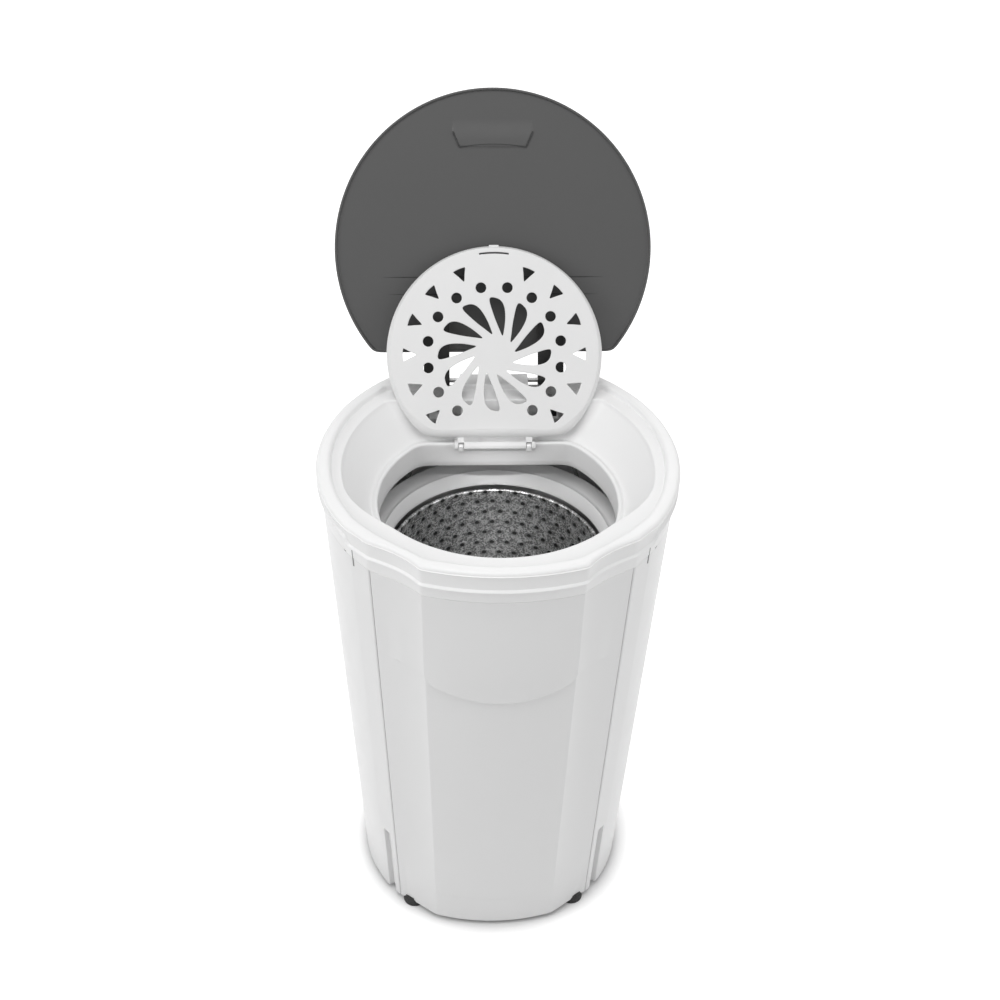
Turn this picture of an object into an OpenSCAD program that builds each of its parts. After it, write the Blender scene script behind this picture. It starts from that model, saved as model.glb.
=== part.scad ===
// Free-standing laundry spin dryer, shown with both lids open.
// Millimetres, +Z up, origin on the floor under the drum axis, the front towards -Y.

/* [Cabinet] */
// Height of the rim above the floor
body_height = 658; // [640:1:680]
// Radius of the round sides at the rim
rim_r = 215; // [213:0.5:219]
// Distance from the drum axis to the front face at the rim
front_depth = 206; // [204:0.5:209]
// Gap between the tub cover and the flat rear panel
rear_gap = 2; // [1:0.5:4]
// Half width of the bowed front face at the rim
ridge_x = 95; // [85:1:105]
// Bulge of the bowed front face
front_bulge = 15; // [10:1:18]
// Hollow of the scalloped corners of the skirt
scallop = 5; // [0:0.5:7]
// Width at the foot of the cabinet as a share of the width at the rim
taper_ratio = 0.815; // [0.80:0.005:0.84]
// Height of the cabinet's lower edge
body_clearance = 14; // [12:1:18]
// Thickness of the side and front panels
panel_wall = 1.6; // [1.2:0.1:2]
// Depth of the skirt that the rim hangs over the panels
skirt_drop = 26; // [20:1:30]
// Height of the plain band below the skirt
band_drop = 18; // [14:1:20]
// Set-back of the panels behind the rim
panel_inset = 3.8; // [3.6:0.1:4.2]
// Distance from the rim down to the middle of the front's raised upper field
smile_drop = 202; // [180:1:238]
// How far the upper field of the front stands proud
smile_step = 1.2; // [0.8:0.1:1.4]
// Half width of the front panel's side seams, as an angle about the drum axis
seam_angle = 46; // [44:0.5:48]
// Angle from the front to each side relief at the foot of the cabinet
relief_angle = 52; // [51:0.5:53]
// Height of the side reliefs
relief_h = 112; // [80:1:130]
// Width of the side reliefs
relief_w = 12; // [8:1:14]

/* [Top panel] */
// Thickness of the top panel's skin
top_wall = 2.5; // [2:0.1:3]
// Radius of the recess that takes the outer lid
recess_r = 201.5; // [201:0.5:204]
// Depth of the lid's seat below the rim
seat_drop = 8; // [7:0.5:9]
// Radius of the bowl at the lid's seat
bowl_r = 194; // [190:0.5:195]
// Width of the rim behind the lid recess
rim_rear_w = 26; // [25:0.5:27]
// Width of the lid's seat behind the bowl
seat_rear_w = 22; // [21:0.5:23]
// Depth of the loading opening's rounded edge below the rim
mouth_drop = 55; // [54:0.5:58]
// Radius of the loading opening
mouth_r = 143; // [141:0.5:144]
// Centre of the loading opening, measured forward of the drum axis
mouth_shift = 10; // [8:0.5:11]
// Distance from the drum axis to the flat rear of the loading opening
mouth_rear = 99; // [98.5:0.25:100]
// Depth of the collar below the opening's edge
collar_drop = 33; // [20:1:36]
// Half of the gap between the two lid arm slots
slot_x = 42; // [41:0.5:44]
// Width of each lid arm slot
slot_w = 48; // [46:0.5:49]

/* [Outer lid] */
// Radius of the outer lid
lid_r = 195.5; // [193:0.25:196]
// Thickness of the outer lid's plate
lid_plate = 3; // [2.5:0.25:3.5]
// Depth of the edge lip under the outer lid
lid_lip = 3; // [2.5:0.25:3.5]
// Distance from the hinge axis to the outer lid's straight edge
lid_chord = 35; // [34:0.5:38]
// Distance from the hinge axis to the outer lid's centre
lid_centre = 162; // [161:0.5:163]
// Angle that the outer lid opens
lid_open = 121; // [116:0.5:122]
// Width of each lid arm
arm_w = 32; // [26:0.5:34]
// Thickness of each lid arm
arm_t = 7.5; // [6:0.25:8]
// Radius of the hinge rod
rod_r = 3; // [2.5:0.1:3.5]
// Distance from the flat rear face at the rim in to the outer lid's hinge rod
rod_inset = 8; // [7.5:0.25:8.5]
// Radius of the arm knuckles
knuckle_r = 7; // [6.5:0.1:7.2]

/* [Inner lid] */
// Radius of the inner lid
inner_r = 132.5; // [130:0.25:133]
// Thickness of the inner lid's plate
inner_plate = 2.5; // [2:0.1:3]
// Depth of the edge lip under the inner lid
inner_lip = 5; // [4:0.5:6]
// Distance from the inner hinge axis to the inner lid's centre
inner_centre = 113.5; // [113:0.25:114.5]
// Distance from the inner hinge axis to the inner lid's straight edge
inner_chord = 12; // [11:0.5:14]
// Radius of the inner hinge pins
pin_r = 1.8; // [1.5:0.1:2]
// Distance from the middle to each inner hinge lug
lug_x = 42; // [38:1:46]
// Width of each inner hinge lug
lug_w = 6; // [5:0.5:7]
// Radius of the round drain holes in the inner lid
vent_r = 6.5; // [5:0.1:7]

/* [Drum] */
// Outer radius of the steel drum
drum_r = 130.5; // [126:0.5:131]
// Wall of the steel drum
drum_wall = 1; // [0.8:0.1:1.2]
// Depth of the drum's rim below the tub cover's ledge
drum_rim_drop = 16; // [15:1:23]
// Height of the drum's bottom above the floor
drum_bottom = 215; // [213:1:218]
// Radius of the rolled bead round the drum's rim
bead_r = 2.4; // [2:0.1:2.5]
// Radius of the drum's wall holes
hole_r = 2; // [1.5:0.1:2.5]
// Number of wall holes round each row of the drum
holes_round = 20; // [16:4:24]
// Number of rows of wall holes
hole_rows = 4; // [3:1:5]
// Radius of the drive shaft
shaft_r = 7.5; // [7:0.1:8]
// Radial running clearance of the hinges and bearings
running_gap = 0.05; // [0.03:0.01:0.08]

/* [Tub] */
// Radial gap between the drum and the tub at its floor
drum_gap = 10; // [8:0.5:11]
// How much wider the tub is at its rim than at its floor, in radius
tub_flare = 13; // [11:0.5:14]
// Wall of the tub
tub_wall = 2.5; // [2:0.1:3]
// Height of the tub's underside above the floor
tub_bottom = 200; // [199:0.5:201]
// Depth of the tub cover's flat ledge below the cabinet's rim
cover_drop = 135; // [130:1:136]
// How far the tub cover reaches past the tub's rim
cover_overhang = 7; // [6:0.5:8]
// Width of the tub cover's flat ledge
cover_ledge = 21; // [20:0.5:23]
// Outer radius of the drain spigot
drain_r = 10; // [8:0.5:11]
// Wall of the drain spigot
drain_wall = 2; // [1.5:0.1:2.5]
// Length of the drain spigot behind its flange
spigot_length = 24; // [20:1:30]
// Bore of the mains lead's gland
gland_bore_r = 4; // [3.5:0.1:4.5]

/* [Drive] */
// Radius of the motor's housing
motor_r = 64; // [62:0.5:66]
// Height of the motor's underside above the floor
motor_bottom = 70; // [69:0.5:72]
// Height of the motor housing
motor_h = 90; // [86:1:92]
// Wall of the motor housing
motor_wall = 3; // [2.5:0.1:3.5]
// Distance from the drum axis to each rubber mount
mount_r = 85; // [83:0.5:88]
// Radius of each rubber mount
mount_size = 16; // [14:0.5:17]
// Radius of the brake drum
brake_r = 40; // [38:0.5:41]
// Radius of the rubber feet
foot_r = 15; // [13:0.5:16]
// Distance from the cabinet's lower edge in to each foot's centre
foot_margin = 18; // [17:0.5:21]

/* [Hidden] */
$fn = 96;
eps = 0.01;
through = 1000;
fit_gap = 0.3;

function taper_at(z) = taper_ratio + (1 - taper_ratio) * (z - body_clearance) / (body_height - body_clearance);
function inset_scale(inset) = (rim_r - inset) / rim_r;
function panel_scale(z, inset) = taper_at(z) * inset_scale(inset);
function polar(r, a) = [r * sin(a), -r * cos(a)];
function mirrored(points) = [for (i = [len(points) - 1:-1:0]) [-points[i][0], points[i][1]]];
function arc(centre_y, r, from, to, steps) =
    [for (i = [0:steps]) [0, centre_y] + polar(r, from + (to - from) * i / steps)];

smile_z = body_height - smile_drop;
mouth_z = body_height - mouth_drop;
cover_z = body_height - cover_drop;
drum_top = cover_z - drum_rim_drop;
tub_floor_r = drum_r + drum_gap + tub_wall;
tub_rim_r = tub_floor_r + tub_flare;
cover_r = tub_rim_r + cover_overhang;
cover_inner_r = cover_r - cover_ledge;
foot_reach = rim_r * taper_ratio - foot_margin;
rear_depth = (cover_r + rear_gap) / panel_scale(cover_z, panel_inset + panel_wall);
recess_rear = rear_depth - rim_rear_w;
bowl_rear = recess_rear - seat_rear_w;
rod_y = rear_depth - rod_inset;

// Half of the cabinet's outline, from the middle of the front to the rear corner.
corner_angle = 46.5;
corner_r_share = 0.985;
side_start_angle = 56;
front_r = (ridge_x * ridge_x + front_bulge * front_bulge) / (2 * front_bulge);
ridge = [ridge_x, -front_depth + front_bulge];
corner = polar(rim_r * corner_r_share, corner_angle);
rear_corner_angle = 180 - acos(rear_depth / rim_r);
chamfer_normal = [-(corner[1] - ridge[1]), corner[0] - ridge[0]] / norm(corner - ridge);
function chamfer_points(hollow) = [for (i = [1:7]) let (t = i / 8)
    ridge + (corner - ridge) * t + chamfer_normal * hollow * sin(180 * pow(t, 0.8))];
function half_outline(hollow) = concat(
    arc(front_r - front_depth, front_r, 0, asin(ridge_x / front_r), 8),
    chamfer_points(hollow),
    arc(0, rim_r, side_start_angle, rear_corner_angle, 24));

module body_outline(hollow = 0) {
    polygon(concat(half_outline(hollow), mirrored(half_outline(hollow))));
}
module body_prism(z0, z1, inset, hollow = 0) {
    translate([0, 0, z0])
        linear_extrude(height = z1 - z0, scale = panel_scale(z1, inset) / panel_scale(z0, inset))
            scale(panel_scale(z0, inset)) body_outline(hollow);
}
module body_ring(z0, z1, inset, wall, hollow = 0) {
    difference() {
        body_prism(z0, z1, inset, hollow);
        body_prism(z0 - 1, z1 + 1, inset + wall, hollow);
    }
}
module tube(r, wall, z0, z1) {
    difference() {
        translate([0, 0, z0]) cylinder(r = r, h = z1 - z0);
        translate([0, 0, z0 - 1]) cylinder(r = r - wall, h = z1 - z0 + 2);
    }
}
module ring(r_out, r_in, z0, z1) {
    tube(r_out, r_out - r_in, z0, z1);
}
module disc(r, z0, z1) {
    translate([0, 0, z0]) cylinder(r = r, h = z1 - z0);
}
module at_angle(r, a) {
    translate([polar(r, a)[0], polar(r, a)[1], 0]) children();
}
// A straight-sided flat shape: a disc of radius r about (0, centre_y), cut off behind rear_y.
module cut_disc(r, centre_y, rear_y) {
    intersection() {
        translate([0, centre_y]) circle(r = r);
        translate([-through / 2, rear_y - through]) square([through, through]);
    }
}
module bar_x(x0, x1, r) {
    translate([x0, 0, 0]) rotate([0, 90, 0]) cylinder(r = r, h = x1 - x0);
}
module box(from, to) {
    translate(from) cube(to - from);
}
// A round lead through the given points, swept as one closed tube.
lead_sides = 8;
lead_steps = 4;
function spline_at(p0, p1, p2, p3, t) = 0.5 * ((2 * p1) + (p2 - p0) * t
    + (2 * p0 - 5 * p1 + 4 * p2 - p3) * t * t + (3 * p1 - p0 - 3 * p2 + p3) * t * t * t);
function spline(points) = let (last = len(points) - 1) concat(
    [for (i = [0:last - 1]) for (j = [0:lead_steps - 1])
        spline_at(points[max(i - 1, 0)], points[i], points[i + 1], points[min(i + 2, last)], j / lead_steps)],
    [points[last]]);
function unit(v) = v / norm(v);
function ring_points(centre, along, r) = let (side = unit(cross([0, 1, 0], along)), up = cross(along, side))
    [for (k = [0:lead_sides - 1]) let (a = 360 * k / lead_sides) centre + r * (side * cos(a) + up * sin(a))];
module lead(points, r) {
    path = spline(points);
    last = len(path) - 1;
    rings = [for (i = [0:last]) each ring_points(path[i], unit(path[min(i + 1, last)] - path[max(i - 1, 0)]), r)];
    walls = [for (i = [0:last - 1]) for (k = [0:lead_sides - 1]) let (n = (k + 1) % lead_sides)
        [i * lead_sides + k, (i + 1) * lead_sides + k, (i + 1) * lead_sides + n, i * lead_sides + n]];
    start = [for (k = [0:lead_sides - 1]) k];
    end = [for (k = [lead_sides - 1:-1:0]) last * lead_sides + k];
    polyhedron(points = rings, faces = concat(walls, [start], [end]), convexity = 8);
}

skirt_z = body_height - skirt_drop;
band_z = skirt_z - band_drop;
seat_z = body_height - seat_drop;
panel_top = band_z - fit_gap;
band_inset = 1.5;
lip_inset = panel_inset + panel_wall + fit_gap;
lip_wall = 2.4;
lip_h = 12;
bead_width = 6;
mouth_bead = 4;
lid_rest_gap = 0.3;
hinge_z = seat_z + lid_rest_gap + lid_lip - 1.3;
inner_hinge_y = mouth_rear - 4;
inner_hinge_z = mouth_z;
slot_top = body_height + through / 2;
slot_front = bowl_rear - 16;
screw_shank_r = 2;
screw_head_r = 4.5;
screw_angle = 59;
screw_z = (skirt_z + band_z) / 2;
screw_inside = 9;

// The line on the front face below which the panel steps back, drawn from the front.
smile_rise = 19;
smile_half_w = 78;
function smile_points() = [for (i = [-12:12]) let (x = smile_half_w * i / 12)
    [x, smile_z + smile_rise * pow(abs(x) / smile_half_w, 2)]];

module seam_wedge(half_angle) {
    translate([0, 0, -1]) linear_extrude(height = through)
        polygon([[0, 0], polar(through, half_angle), [0, -2 * through], polar(through, -half_angle)]);
}
module screw_axis(side) {
    rotate([0, 0, side * screw_angle]) translate([0, 0, screw_z]) rotate([90, 0, 0]) children();
}
module relief_cut(side) {
    rotate([0, 0, side * relief_angle])
        box([-relief_w / 2, -through, -1], [relief_w / 2, -120, body_clearance + relief_h]);
}
screw_r_out = panel_scale(screw_z, band_inset) * rim_r;
screw_hole_clear = 0.1;
module side_screw_holes() {
    for (side = [-1, 1]) screw_axis(side) translate([0, 0, screw_r_out - screw_inside - 1])
        cylinder(r = screw_shank_r + screw_hole_clear, h = through, $fn = 32);
}

// Painted wrap-round cabinet: the sides and the back in one tapered sheet.
module rear_shell() {
    color("whitesmoke") difference() {
        body_ring(body_clearance, panel_top, panel_inset, panel_wall);
        seam_wedge(seam_angle + 0.2);
        for (side = [-1, 1]) relief_cut(side);
        translate([drain_x, 0, drain_z]) rotate([-90, 0, 0]) cylinder(r = drain_pipe_r + fit_gap, h = through);
        translate([gland_x, 0, gland_z]) rotate([-90, 0, 0]) cylinder(r = gland_r + fit_gap, h = through);
    }
}

// Bowed front sheet with its raised upper field.
module front_panel() {
    color("white") intersection() {
        union() {
            body_ring(body_clearance, panel_top, panel_inset, panel_wall);
            intersection() {
                body_ring(smile_z, panel_top, panel_inset - smile_step, smile_step);
                rotate([90, 0, 0]) linear_extrude(height = through)
                    polygon(concat(smile_points(), [[smile_half_w, panel_top], [-smile_half_w, panel_top]]));
            }
        }
        seam_wedge(seam_angle - 0.2);
    }
}

// Moulded top: rim, lid seat, bowl and loading collar in one piece.
module recess_shape(r, rear_y, inset, centre_y = 0) {
    intersection() {
        cut_disc(r, centre_y, rear_y);
        scale(inset_scale(inset)) body_outline();
    }
}
recess_inset = 14;
bowl_inset = 24;
module bowl_solid(wall) {
    hull() {
        translate([0, 0, seat_z - wall]) linear_extrude(height = wall + (wall > 0 ? 0 : eps))
            recess_shape(bowl_r + wall, bowl_rear + wall, bowl_inset - wall, $fn = 72);
        translate([0, 0, mouth_z - (wall > 0 ? mouth_bead : 0)]) linear_extrude(height = wall > 0 ? mouth_bead : eps)
            cut_disc(mouth_r + bead_width + wall, -mouth_shift, mouth_rear + bead_width + wall, $fn = 72);
    }
}
module mouth_prism(r_extra, z0, z1) {
    translate([0, 0, z0]) linear_extrude(height = z1 - z0)
        cut_disc(mouth_r + r_extra, -mouth_shift, mouth_rear + r_extra);
}
module lid_slots() {
    for (side = [0, 1]) mirror([side, 0, 0])
        box([slot_x, slot_front, shelf_z + shelf_t + 2], [slot_x + slot_w, through, slot_top]);
}
module rod_hole(r) {
    translate([0, rod_y, hinge_z]) bar_x(-through / 2, through / 2, r);
}
boss_w = 12;
boss_front = rod_y - 9;
boss_drop = 9;
boss_rear = rod_y + rod_r + 3;
module rod_bosses() {
    for (side = [0, 1]) mirror([side, 0, 0]) {
        box([slot_x - boss_w, boss_front, hinge_z - boss_drop], [slot_x, boss_rear, body_height - 1]);
        box([slot_x + slot_w, boss_front, hinge_z - boss_drop],
            [slot_x + slot_w + boss_w, boss_rear, body_height - 1]);
    }
}
module inner_lugs() {
    for (side = [-1, 1]) translate([side * lug_x, 0, 0])
        box([-lug_w / 2, inner_hinge_y - 3.5, inner_hinge_z - 14],
            [lug_w / 2, mouth_rear + 1, inner_hinge_z + 3.5]);
}
switch_x = 69;
switch_y = rod_y - 20;
shelf_drop = 38;
shelf_z = seat_z - shelf_drop;
shelf_t = 4;
shelf_half_w = 12;
shelf_rear = rear_depth * panel_scale(shelf_z, lip_inset + 1);
module switch_shelf() {
    for (x = [-switch_x, switch_x])
        box([x - shelf_half_w, switch_y - shelf_half_w, shelf_z], [x + shelf_half_w, shelf_rear, shelf_z + shelf_t]);
}
module top_panel() {
    color("white") difference() {
        union() {
            difference() {
                body_prism(skirt_z, body_height, 0, scallop);
                body_prism(skirt_z - 1, body_height - top_wall, top_wall, scallop);
            }
            difference() {
                union() {
                    body_prism(band_z, skirt_z + 1, band_inset);
                    body_prism(band_z - lip_h, band_z + 2, lip_inset);
                }
                body_prism(band_z - lip_h - 1, skirt_z + 2, lip_inset + lip_wall);
            }
            translate([0, 0, seat_z - top_wall]) linear_extrude(height = seat_drop)
                recess_shape(recess_r + top_wall, recess_rear + top_wall, recess_inset - top_wall);
            bowl_solid(top_wall);
            mouth_prism(top_wall, mouth_z - collar_drop, mouth_z - 1);
            rod_bosses();
            switch_shelf();
        }
        difference() {
            union() {
                translate([0, 0, seat_z]) linear_extrude(height = through)
                    recess_shape(recess_r, recess_rear, recess_inset);
                bowl_solid(0);
                mouth_prism(0, mouth_z - collar_drop - 1, mouth_z + 1);
            }
            inner_lugs();
        }
        lid_slots();
        rod_hole(rod_r);
        inner_pin_hole();
        side_screw_holes();
        shelf_holes();
    }
}
module inner_pin_hole() {
    translate([0, inner_hinge_y, inner_hinge_z]) bar_x(-lug_x - lug_w, lug_x + lug_w, pin_r);
}
module shelf_holes() {
    for (x = [-switch_x, switch_x]) translate([x, lead_y, shelf_z - 1])
        cylinder(r = lead_r + fit_gap, h = shelf_t + 2);
}

// Pressed base pan with an upturned edge and seats for the mounts.
pan_t = 3;
pan_edge = 20;
pan_z = body_clearance;
pan_top = pan_z + pan_t;
pan_inset = panel_inset + panel_wall + fit_gap;
foot_angles = [42, -42, 138, -138];
mount_angles = [180, 60, -60];
leg_angles = [70, -70, 0];
leg_reach = 124;
leg_r = 8;
mount_seat_h = 6;
foot_screw_r = 2.5;
module base_pan() {
    color("dimgray") difference() {
        union() {
            difference() {
                body_prism(pan_z, pan_z + pan_edge, pan_inset);
                body_prism(pan_top, pan_z + pan_edge + 1, pan_inset + pan_t);
            }
            for (a = mount_angles) at_angle(mount_r, a) disc(mount_size, pan_z + 1, pan_top + mount_seat_h);
        }
        for (a = foot_angles) at_angle(foot_reach, a) disc(foot_screw_r, 0, through);
        for (side = [-1, 1]) rotate([0, 0, side * relief_angle])
            box([-relief_w / 2, -through, 0], [relief_w / 2, -foot_reach - 4, body_clearance + pan_edge + 1]);
    }
}

foot_well_r = 6;
foot_well_h = 5;
module rubber_feet() {
    color("black") for (a = foot_angles) at_angle(foot_reach, a) difference() {
        union() {
            disc(foot_r, 0, body_clearance - 3);
            disc(foot_r - 2, body_clearance - 4, body_clearance);
        }
        disc(foot_screw_r, -1, body_clearance + 1);
        disc(foot_well_r, -1, foot_well_h);
    }
}
module foot_screws() {
    color("silver") for (a = foot_angles) at_angle(foot_reach, a) {
        disc(foot_well_r - 1, foot_well_h - 3, foot_well_h);
        disc(foot_screw_r, foot_well_h - 1, pan_top + 5);
    }
}
module side_screws() {
    color("silver") for (side = [-1, 1]) screw_axis(side) {
        translate([0, 0, screw_r_out - screw_inside]) cylinder(r = screw_shank_r, h = screw_inside + 1, $fn = 32);
        translate([0, 0, screw_r_out + 0.2]) cylinder(r = screw_head_r, h = 1.8, $fn = 48);
    }
}

// Conical plastic tub round the drum.
tub_top = cover_z - tub_wall;
tub_hole_r = 40;
module outer_tub() {
    color("gainsboro") difference() {
        rotate_extrude() polygon([
            [tub_hole_r, tub_bottom], [tub_floor_r, tub_bottom], [tub_rim_r, tub_top],
            [tub_rim_r - tub_wall, tub_top], [tub_floor_r - tub_wall, tub_bottom + tub_wall],
            [tub_hole_r, tub_bottom + tub_wall]]);
        translate([drain_x, drain_y, 0]) cylinder(r = drain_bore_r, h = tub_bottom + tub_wall + 1);
    }
}
cover_lip_drop = 12;
cover_lip_r = drum_r + 4;
cover_skirt = 18;
module tub_cover() {
    color("white") rotate_extrude() polygon([
        [cover_r, cover_z - cover_skirt], [cover_r, cover_z], [cover_inner_r, cover_z],
        [cover_lip_r, cover_z - cover_lip_drop], [cover_lip_r + tub_wall, cover_z - cover_lip_drop],
        [cover_inner_r + 1, cover_z - tub_wall], [cover_r - tub_wall, cover_z - tub_wall],
        [cover_r - tub_wall, cover_z - cover_skirt]]);
}
module tub_legs() {
    color("gray") for (a = leg_angles) at_angle(leg_reach, a) disc(leg_r, pan_top, tub_bottom);
}

// Drain: down from the tub floor, then out through the back to a flange and a hose spigot.
drain_x = 40;
drain_inset = 39;
drain_drop = 50;
drain_y = tub_floor_r - drain_inset;
drain_z = tub_bottom - drain_drop;
drain_pipe_r = drain_r + 1.5;
drain_bore_r = drain_r - drain_wall;
drain_flange_r = drain_r + 5;
drain_flange_t = 3;
drain_flange_y = rear_depth * panel_scale(drain_z + drain_flange_r, panel_inset) + fit_gap;
drain_end_y = drain_flange_y + drain_flange_t + spigot_length;
module drain_outlet() {
    color("gray") translate([drain_x, 0, drain_z]) difference() {
        union() {
            translate([0, drain_y, 0]) cylinder(r = drain_pipe_r, h = tub_bottom - drain_z);
            translate([0, drain_y, 0]) sphere(r = drain_pipe_r);
            translate([0, drain_y, 0]) rotate([-90, 0, 0])
                cylinder(r = drain_pipe_r, h = drain_flange_y - drain_y + 1);
            translate([0, drain_flange_y, 0]) rotate([-90, 0, 0]) cylinder(r = drain_flange_r, h = drain_flange_t);
            translate([0, drain_flange_y + 1, 0]) rotate([-90, 0, 0])
                cylinder(r = drain_r, h = drain_end_y - drain_flange_y - 1);
        }
        translate([0, drain_y, 0]) cylinder(r = drain_bore_r, h = through);
        translate([0, drain_y, 0]) sphere(r = drain_bore_r);
        translate([0, drain_y, 0]) rotate([-90, 0, 0]) cylinder(r = drain_bore_r, h = through);
    }
}
gland_x = -50;
gland_z = 80;
gland_r = 8;
gland_flange_r = 11;
gland_flange_t = 4;
gland_inside = 10;
gland_y = rear_depth * panel_scale(gland_z + gland_flange_r, panel_inset) + fit_gap;
module mains_gland() {
    color("black") translate([gland_x, gland_y, gland_z]) rotate([-90, 0, 0]) difference() {
        union() {
            cylinder(r = gland_flange_r, h = gland_flange_t);
            translate([0, 0, -gland_inside]) cylinder(r = gland_r, h = gland_inside + 1);
        }
        translate([0, 0, -gland_inside - 1]) cylinder(r = gland_bore_r, h = through);
    }
}
terminal_offset = [-45, -33];
terminal_from = concat(polar(foot_reach, foot_angles[2]) + terminal_offset, [pan_top]);
terminal_size = [34, 22, 30];
terminal_top = terminal_from + [terminal_size[0] / 2, terminal_size[1] / 2, terminal_size[2]];
module terminal_box() {
    color("darkslategray") translate(terminal_from) cube(terminal_size);
}

// Points of the leads beside the tub: a gap outside its wall, at an angle and a height.
function tub_r_at(z) = tub_floor_r + tub_flare * (z - tub_bottom) / (tub_top - tub_bottom);
function beside_tub(gap, a, z) = concat(polar(tub_r_at(z) + gap, a), [z]);
function beside_cover(gap, a, z) = concat(polar(cover_r + gap, a), [z]);
lead_r = 2.5;
lead_y = switch_y + 4;
lead_entry = 0.3;
lead_points = [terminal_top + [0, 0, lead_entry], terminal_top + [0, 0, 10], terminal_top + [3, 1, 33],
    beside_tub(7, 134.5, tub_bottom + 40), beside_tub(15, 135.5, cover_z - 103), beside_cover(15, 142.7, cover_z - 3),
    [switch_x + 9, lead_y + 2, shelf_z - 32], [switch_x, lead_y, shelf_z - 12], [switch_x, lead_y, shelf_z - 4],
    [switch_x, lead_y, shelf_z + shelf_t - lead_entry]];
module wiring_lead() {
    color("black") lead(lead_points, lead_r);
}
cap_margin = 58.6;
cap_x = rim_r * panel_scale(pan_z, pan_inset) - cap_margin;
cap_y = 22;
cap_r = 18;
cap_h = 75;
cup_wall = 2.2;
cup_h = 16;
module capacitor() {
    color("lightgray") translate([cap_x, cap_y, 0]) {
        disc(cap_r, pan_top + cup_wall, pan_top + cup_wall + cap_h);
        for (side = [-1, 1]) translate([side * 6, 0, 0])
            box([-1, -3, pan_top + cap_h], [1, 3, pan_top + cap_h + 10]);
    }
}
module capacitor_cup() {
    color("dimgray") translate([cap_x, cap_y, 0]) difference() {
        disc(cap_r + fit_gap + cup_wall, pan_top, pan_top + cup_h);
        disc(cap_r + fit_gap, pan_top + cup_wall, pan_top + cup_h + 1);
    }
}

// Hinge hardware on the top panel.
rod_overhang = 10;
module hinge_rod() {
    color("silver") translate([0, rod_y, hinge_z])
        bar_x(-slot_x - slot_w - rod_overhang, slot_x + slot_w + rod_overhang, rod_r);
}
pin_overhang = 5;
module inner_hinge_pins() {
    color("silver") for (side = [0, 1]) mirror([side, 0, 0]) translate([0, inner_hinge_y, inner_hinge_z])
        bar_x(lug_x - lug_w / 2 - pin_overhang, lug_x + lug_w / 2 + pin_overhang, pin_r);
}
plunger_r = 2.5;
plunger_travel = 3;
switch_h = 16;
switch_base_z = shelf_z + shelf_t;
switch_top = switch_base_z + switch_h;
plunger_top = hinge_z - knuckle_r - 5;
module safety_switch() {
    color("black") difference() {
        box([switch_x - 9, switch_y - 8, switch_base_z], [switch_x + 9, switch_y + 8, switch_top]);
        translate([switch_x, switch_y, switch_base_z + 3]) cylinder(r = plunger_r + running_gap, h = through);
    }
}
module switch_plunger() {
    color("red") translate([switch_x, switch_y, 0])
        disc(plunger_r, switch_base_z + 3 + plunger_travel + 1, plunger_top + plunger_travel);
}

brake_drum_z = 40;
brake_drum_h = 18;
brake_pivot = [-brake_r - 12, -8];
brake_tip_y = 46;
pivot_r = 4;
lever_t = 6;
lever_z = brake_drum_z + 6;
lever_w = 7;

// Sheathed cable from the lid end down to the brake, held at both ends.
cable_r = lead_r;
cable_end = [brake_pivot[0] - 38, brake_tip_y, lever_z + lever_t / 2];
clamp_t = 6;
clamp_half_w = 4;
cable_points = [[-switch_x, lead_y, shelf_z + shelf_t + 4], [-switch_x, lead_y, shelf_z - 10],
    [-switch_x - 5, lead_y, shelf_z - 27], beside_cover(14, -142.4, cover_z - 3), beside_tub(14.5, -127.1, cover_z - 123),
    beside_tub(10.5, -123.5, tub_bottom + 60), concat(polar(tub_floor_r - 1, -119.4), [tub_bottom - 40]),
    cable_end + [-22, 10, 21], cable_end + [-8, 0, 1], cable_end];
module brake_cable() {
    color("dimgray") {
        lead(cable_points, cable_r);
        translate(cable_end) box([-clamp_t + 2, -clamp_half_w, pan_top - cable_end[2]], [2, clamp_half_w, -1]);
    }
}

// Rubber between the fixed tub and the floating drive.
seal_neck_r = 24;
neck_top = 194;
seal_t = 1.5;
module tub_seal() {
    color("black") rotate_extrude() polygon([
        [seal_neck_r + fit_gap, neck_top - 10], [seal_neck_r + fit_gap, neck_top - 2],
        [30, neck_top - 7], [34, neck_top - 1], [tub_hole_r + 6, tub_bottom - 0.2],
        [tub_hole_r + 6, tub_bottom - 0.2 - seal_t], [35, neck_top - 4], [30, neck_top - 10],
        [seal_neck_r + fit_gap + seal_t, neck_top - 10]]);
}
bracket_t = 4;
bracket_z = motor_bottom - bracket_t;
module rubber_mounts() {
    color("black") for (a = mount_angles) at_angle(mount_r, a)
        rotate_extrude() polygon([
            [0, pan_top + mount_seat_h], [mount_size, pan_top + mount_seat_h], [mount_size, pan_top + mount_seat_h + 6],
            [mount_size - 4, (pan_top + mount_seat_h + bracket_z) / 2], [mount_size, bracket_z - 6],
            [mount_size, bracket_z], [0, bracket_z]]);
}

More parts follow.
